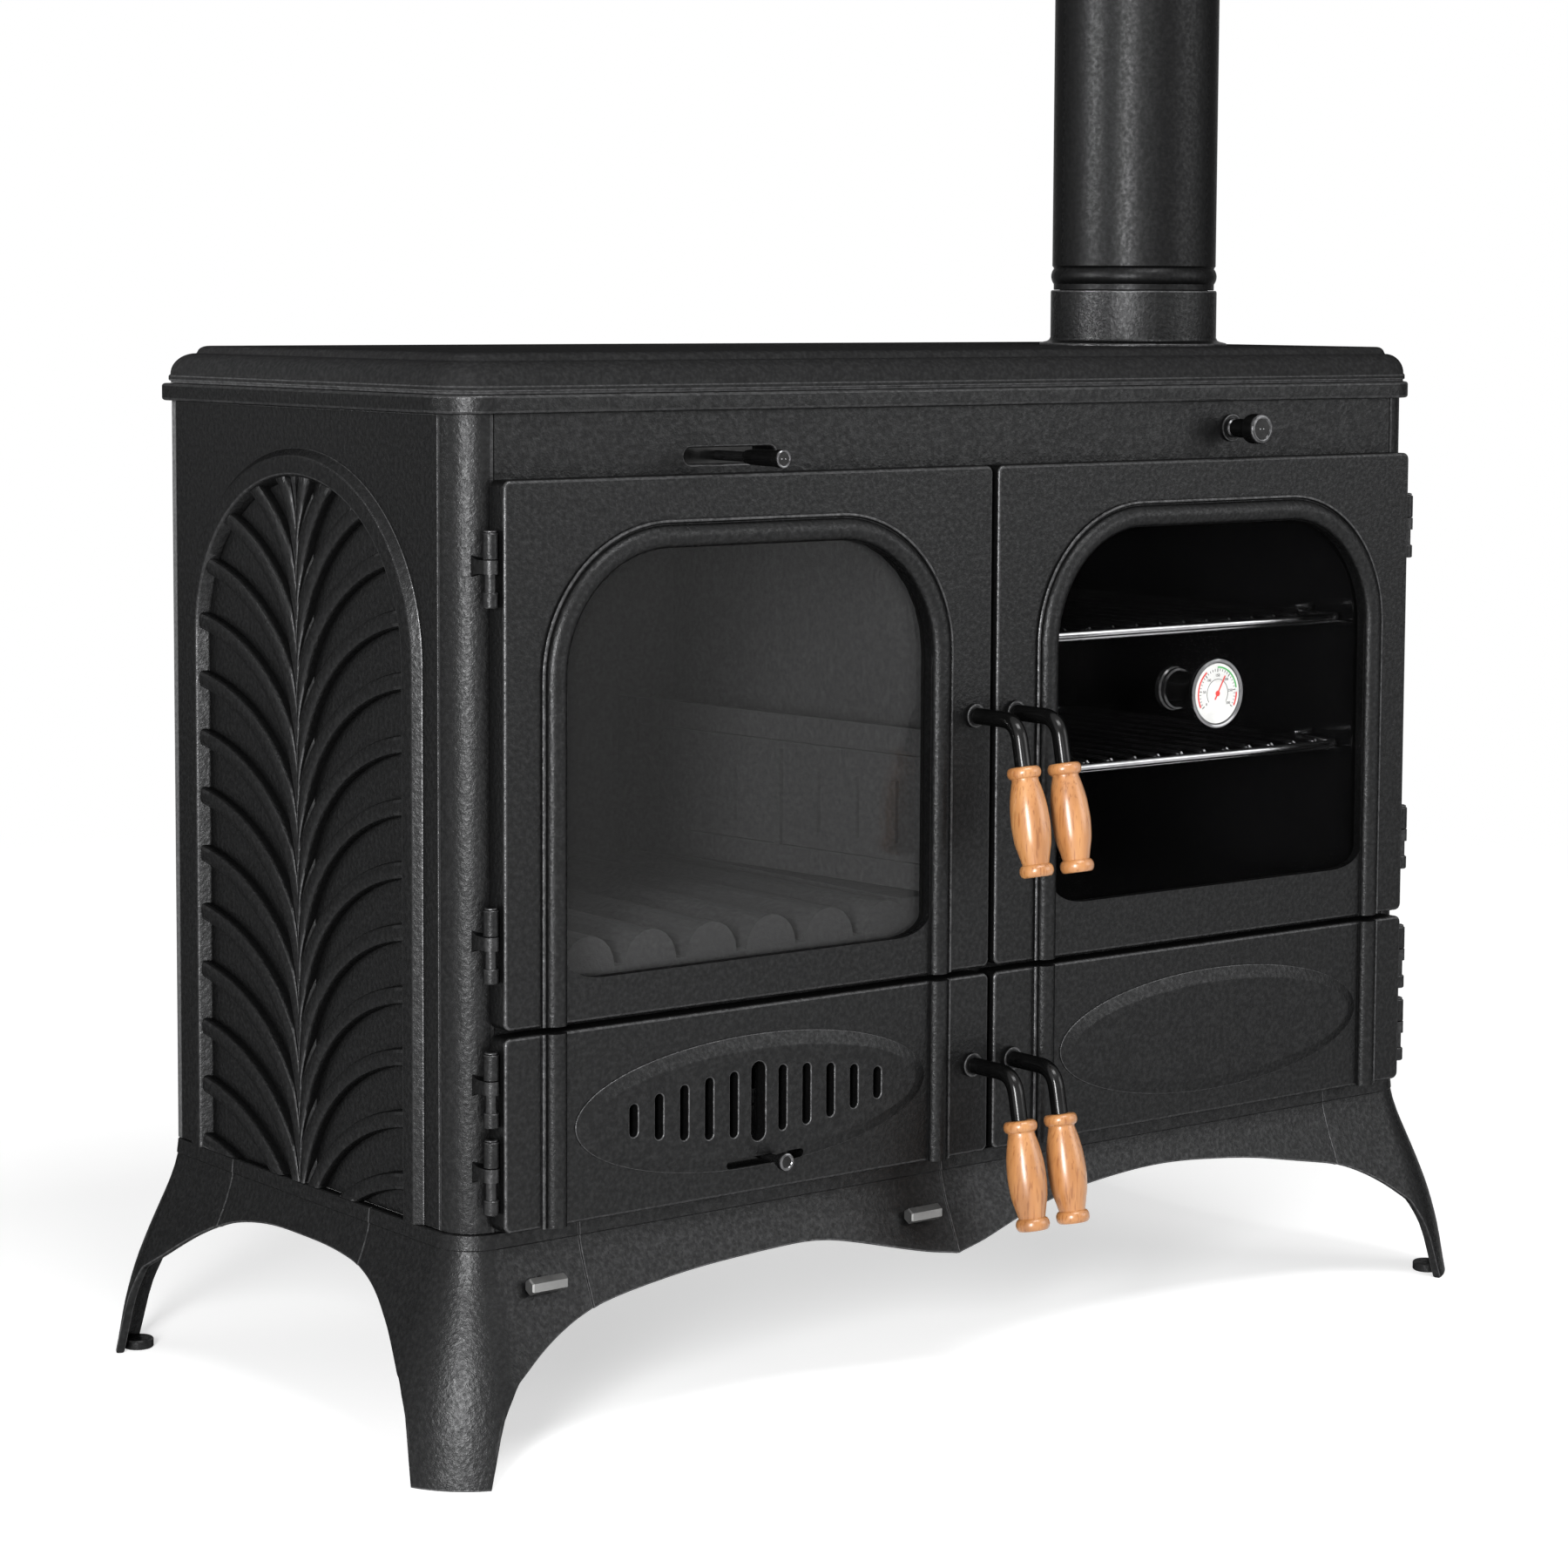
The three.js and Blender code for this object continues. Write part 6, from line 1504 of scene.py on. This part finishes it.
def racks():
    """Wire racks: a bent outer rod, a stay behind its front run, and rungs from front to back."""
    x0, x1 = OVEN[0] + RACK_CLEARANCE + RACK_ROD, OVEN[1] - RACK_CLEARANCE - RACK_ROD
    y0, y1 = RACK_RUN
    for name, z in RACK_HEIGHTS.items():
        outer = [(x, y, z) for x, y in rounded_box(x0, x1, y0, y1, 12, 5)]
        bars = [tube([(x0, y0 + 15, z - 5), (x1, y0 + 15, z - 5)], RACK_ROD * 0.8, 14)]
        for x, inward in ((x0, 1), (x1, -1)):
            stop = [(0, 70, 0), (0, 46, 2), (3, 34, 9), (16, 28, 9), (34, 26, 9), (42, 15, 3), (46, 4, 0)]
            bars.append(tube([(x + inward * a, y0 + b, z + c) for a, b, c in stop], RACK_ROD * 0.75, 10))
        for i in range(1, RACK_RUNGS + 1):
            x = x0 + (x1 - x0) * i / (RACK_RUNGS + 1)
            run = [(y0 + 1, 1.5), (y0 + 3, 3.6), (y0 + 8, 4.2), (y1 - 8, 4.2), (y1 - 2, 3)]
            bars.append(tube([(x, y, z + rise) for y, rise in run], RACK_ROD * 0.6, 8))
        made = join(solid(tube(outer, RACK_ROD, 14, closed=True)), *bars)
        node = "oven_rack_" + name
        settle(node + "_wire", made, node, "rack_steel", slot="chrome")


def seals():
    """Twisted glass rope, pressed into an oval between the door's return and its rebate."""
    half, deep = SEAL_HALF
    for door in ("fire_door", "oven_door"):
        column, row = DOORS[door]
        corners = rounded_box(column.start + SEAL_INSET, column.end - SEAL_INSET,
                              row.low + SEAL_INSET, row.high - SEAL_INSET, 6, 4)
        loop = []
        for (ax, az), (bx, bz) in zip(corners, corners[1:] + corners[:1]):
            count = max(int(hypot(bx - ax, bz - az) / ROPE_STEP), 1)
            loop += [(ax + (bx - ax) * i / count, az + (bz - az) * i / count) for i in range(count)]
        rings = []
        for k, ((x, z), n) in enumerate(zip(loop, normals(loop))):
            ring = []
            for turn in turns(12):
                swell = 1 - ROPE_GROOVE + ROPE_GROOVE * sin(ROPE_STRANDS * turn + k * ROPE_TWIST)
                across = half * cos(turn) * swell
                ring.append((x + n.x * across, SEAL_Y + deep * sin(turn) * swell, z + n.y * across))
            rings.append(ring)
        settle(door + "_rope_seal", solid(skin(rings, closed=True)), door + "_seal", "rope", door, sharp=80)


EASED_NODES = {
    "fire_grate": "cast_iron", "firebox_ribbed_plate": "cast_iron", "back_panel": "cast_plate",
    "base_plate": "cast_plate", "centre_partition": "cast_plate", "hearth_plate": "cast_plate",
    "firebox_side_plate": "cast_plate", "firebox_rear_plate": "cast_plate",
}
NODE_EASE = 1.2


def eased_nodes():
    """Plain castings inside and behind: copies of their solids with every edge rounded."""
    for name, slot in EASED_NODES.items():
        made = linked(name + "_cast", NODES[name].data.copy())
        made.data.transform(Matrix.Scale(1 / MM, 4) @ Matrix.Translation(-ORIGIN))
        bevel = made.modifiers.new("ease", "BEVEL")
        bevel.width = NODE_EASE
        bevel.segments = 2
        bevel.angle_limit = radians(35)
        made.data = baked(made)
        made.modifiers.clear()
        settle(name + "_cast", made, name, "cast_plate", slot=slot)


# ------------------------------------------------------------------ the stage, in metres of the row frame
FLOOR_HALF = 14.0
FLOOR_GLOW = (0.55, 1.0)  # beside the cooker, and far from it
FLOOR_FADE = (0.9, 3.2)
WORLD_LIGHT = 0.25


def seen_directly(made):
    """One for camera, mirror and see-through rays, and nought for the light that falls on things."""
    path = add(made, "ShaderNodeLightPath")
    sent = combine(made, "MAXIMUM", (path, "Is Camera Ray"), (path, "Is Transmission Ray"))
    return combine(made, "MAXIMUM", (sent, 0), (path, "Is Glossy Ray"))


def floor():
    """A white floor that keeps the cooker's shadow and fades into the white room behind."""
    made = bpy.data.materials.new("floor")
    made.use_nodes = True
    made.node_tree.nodes.clear()
    away = add(made, "ShaderNodeVectorMath", operation="LENGTH")
    wire(made, add(made, "ShaderNodeTexCoord"), "Object", away, 0)
    fade = spread(made, away, "Value", 0.0, 1.0, *FLOOR_FADE)
    fade.interpolation_type = "SMOOTHSTEP"
    strength = spread(made, fade, "Result", *FLOOR_GLOW, 0.0, 1.0)
    shown = combine(made, "MULTIPLY", (strength, "Result"), (seen_directly(made), 0))
    glow = add(made, "ShaderNodeEmission", Color=(1, 1, 1, 1))
    wire(made, shown, 0, glow, "Strength")
    lit = add(made, "ShaderNodeAddShader")
    wire(made, add(made, "ShaderNodeBsdfDiffuse", Color=(0.8, 0.8, 0.8, 1.0)), 0, lit, 0)
    wire(made, glow, 0, lit, 1)
    mixed = add(made, "ShaderNodeMixShader")
    wire(made, fade, "Result", mixed, 0)
    wire(made, lit, 0, mixed, 1)
    wire(made, add(made, "ShaderNodeEmission", Strength=1.0), 0, mixed, 2)
    wire(made, mixed, 0, add(made, "ShaderNodeOutputMaterial"), "Surface")
    half = FLOOR_HALF
    corners = [(-half, -half, 0), (half, -half, 0), (half, half, 0), (-half, half, 0)]
    mesh = bpy.data.meshes.new("floor")
    mesh.from_pydata(corners, [], [(0, 1, 2, 3)])
    mesh.materials.append(made)
    linked("floor", mesh)


def world():
    sky = bpy.data.worlds.new("studio")
    sky.use_nodes = True
    sky.node_tree.nodes.clear()
    bpy.context.scene.world = sky
    strength = spread(sky, seen_directly(sky), 0, WORLD_LIGHT, 1.0, 0.0, 1.0)
    light = add(sky, "ShaderNodeBackground", Color=(1, 1, 1, 1))
    wire(sky, strength, "Result", light, "Strength")
    wire(sky, light, 0, add(sky, "ShaderNodeOutputWorld"), "Surface")


def lamp(name, where, aim, size, power, spread_angle=180):
    data = bpy.data.lights.new(name, "AREA")
    data.shape = "RECTANGLE"
    data.size, data.size_y = size
    data.energy = power
    data.spread = radians(spread_angle)
    body = linked(name, data)
    body.location = where
    body.rotation_euler = (Vector(aim) - Vector(where)).to_track_quat("-Z", "Y").to_euler()


PIPE_AIM = (0.357, 0.016, 1.3)
PIPE_LAMP = (0.35, 1.2)
PIPE_SPREAD = 30


def studio():
    floor()
    world()
    lamp("key", (-2.75, -2.2, 1.0), (-0.4, 0, 0.6), (0.6, 1.4), 140)
    lamp("fill", (2.4, -3.0, 1.6), (0.1, 0, 0.5), (2.0, 1.8), 36)
    lamp("top", (-0.3, -1.9, 3.3), (0, 0, 0.3), (2.0, 0.9), 58)
    lamp("pipe_left", (-2.08, 0.57, 1.6), PIPE_AIM, PIPE_LAMP, 2.5, PIPE_SPREAD)
    lamp("pipe_right", (-0.88, -2.72, 1.55), PIPE_AIM, PIPE_LAMP, 0.3, PIPE_SPREAD)


camera()
studio()
dress_nodes()
front_frame()
side_panels()
cooktop()
flue()
skirt()
pegs()
doors()
hinge_pins()
levers_and_grips()
air_slider()
flue_damper()
air_register()
thermometer()
racks()
seals()
eased_nodes()

bpy.context.scene.view_settings.view_transform = "Standard"
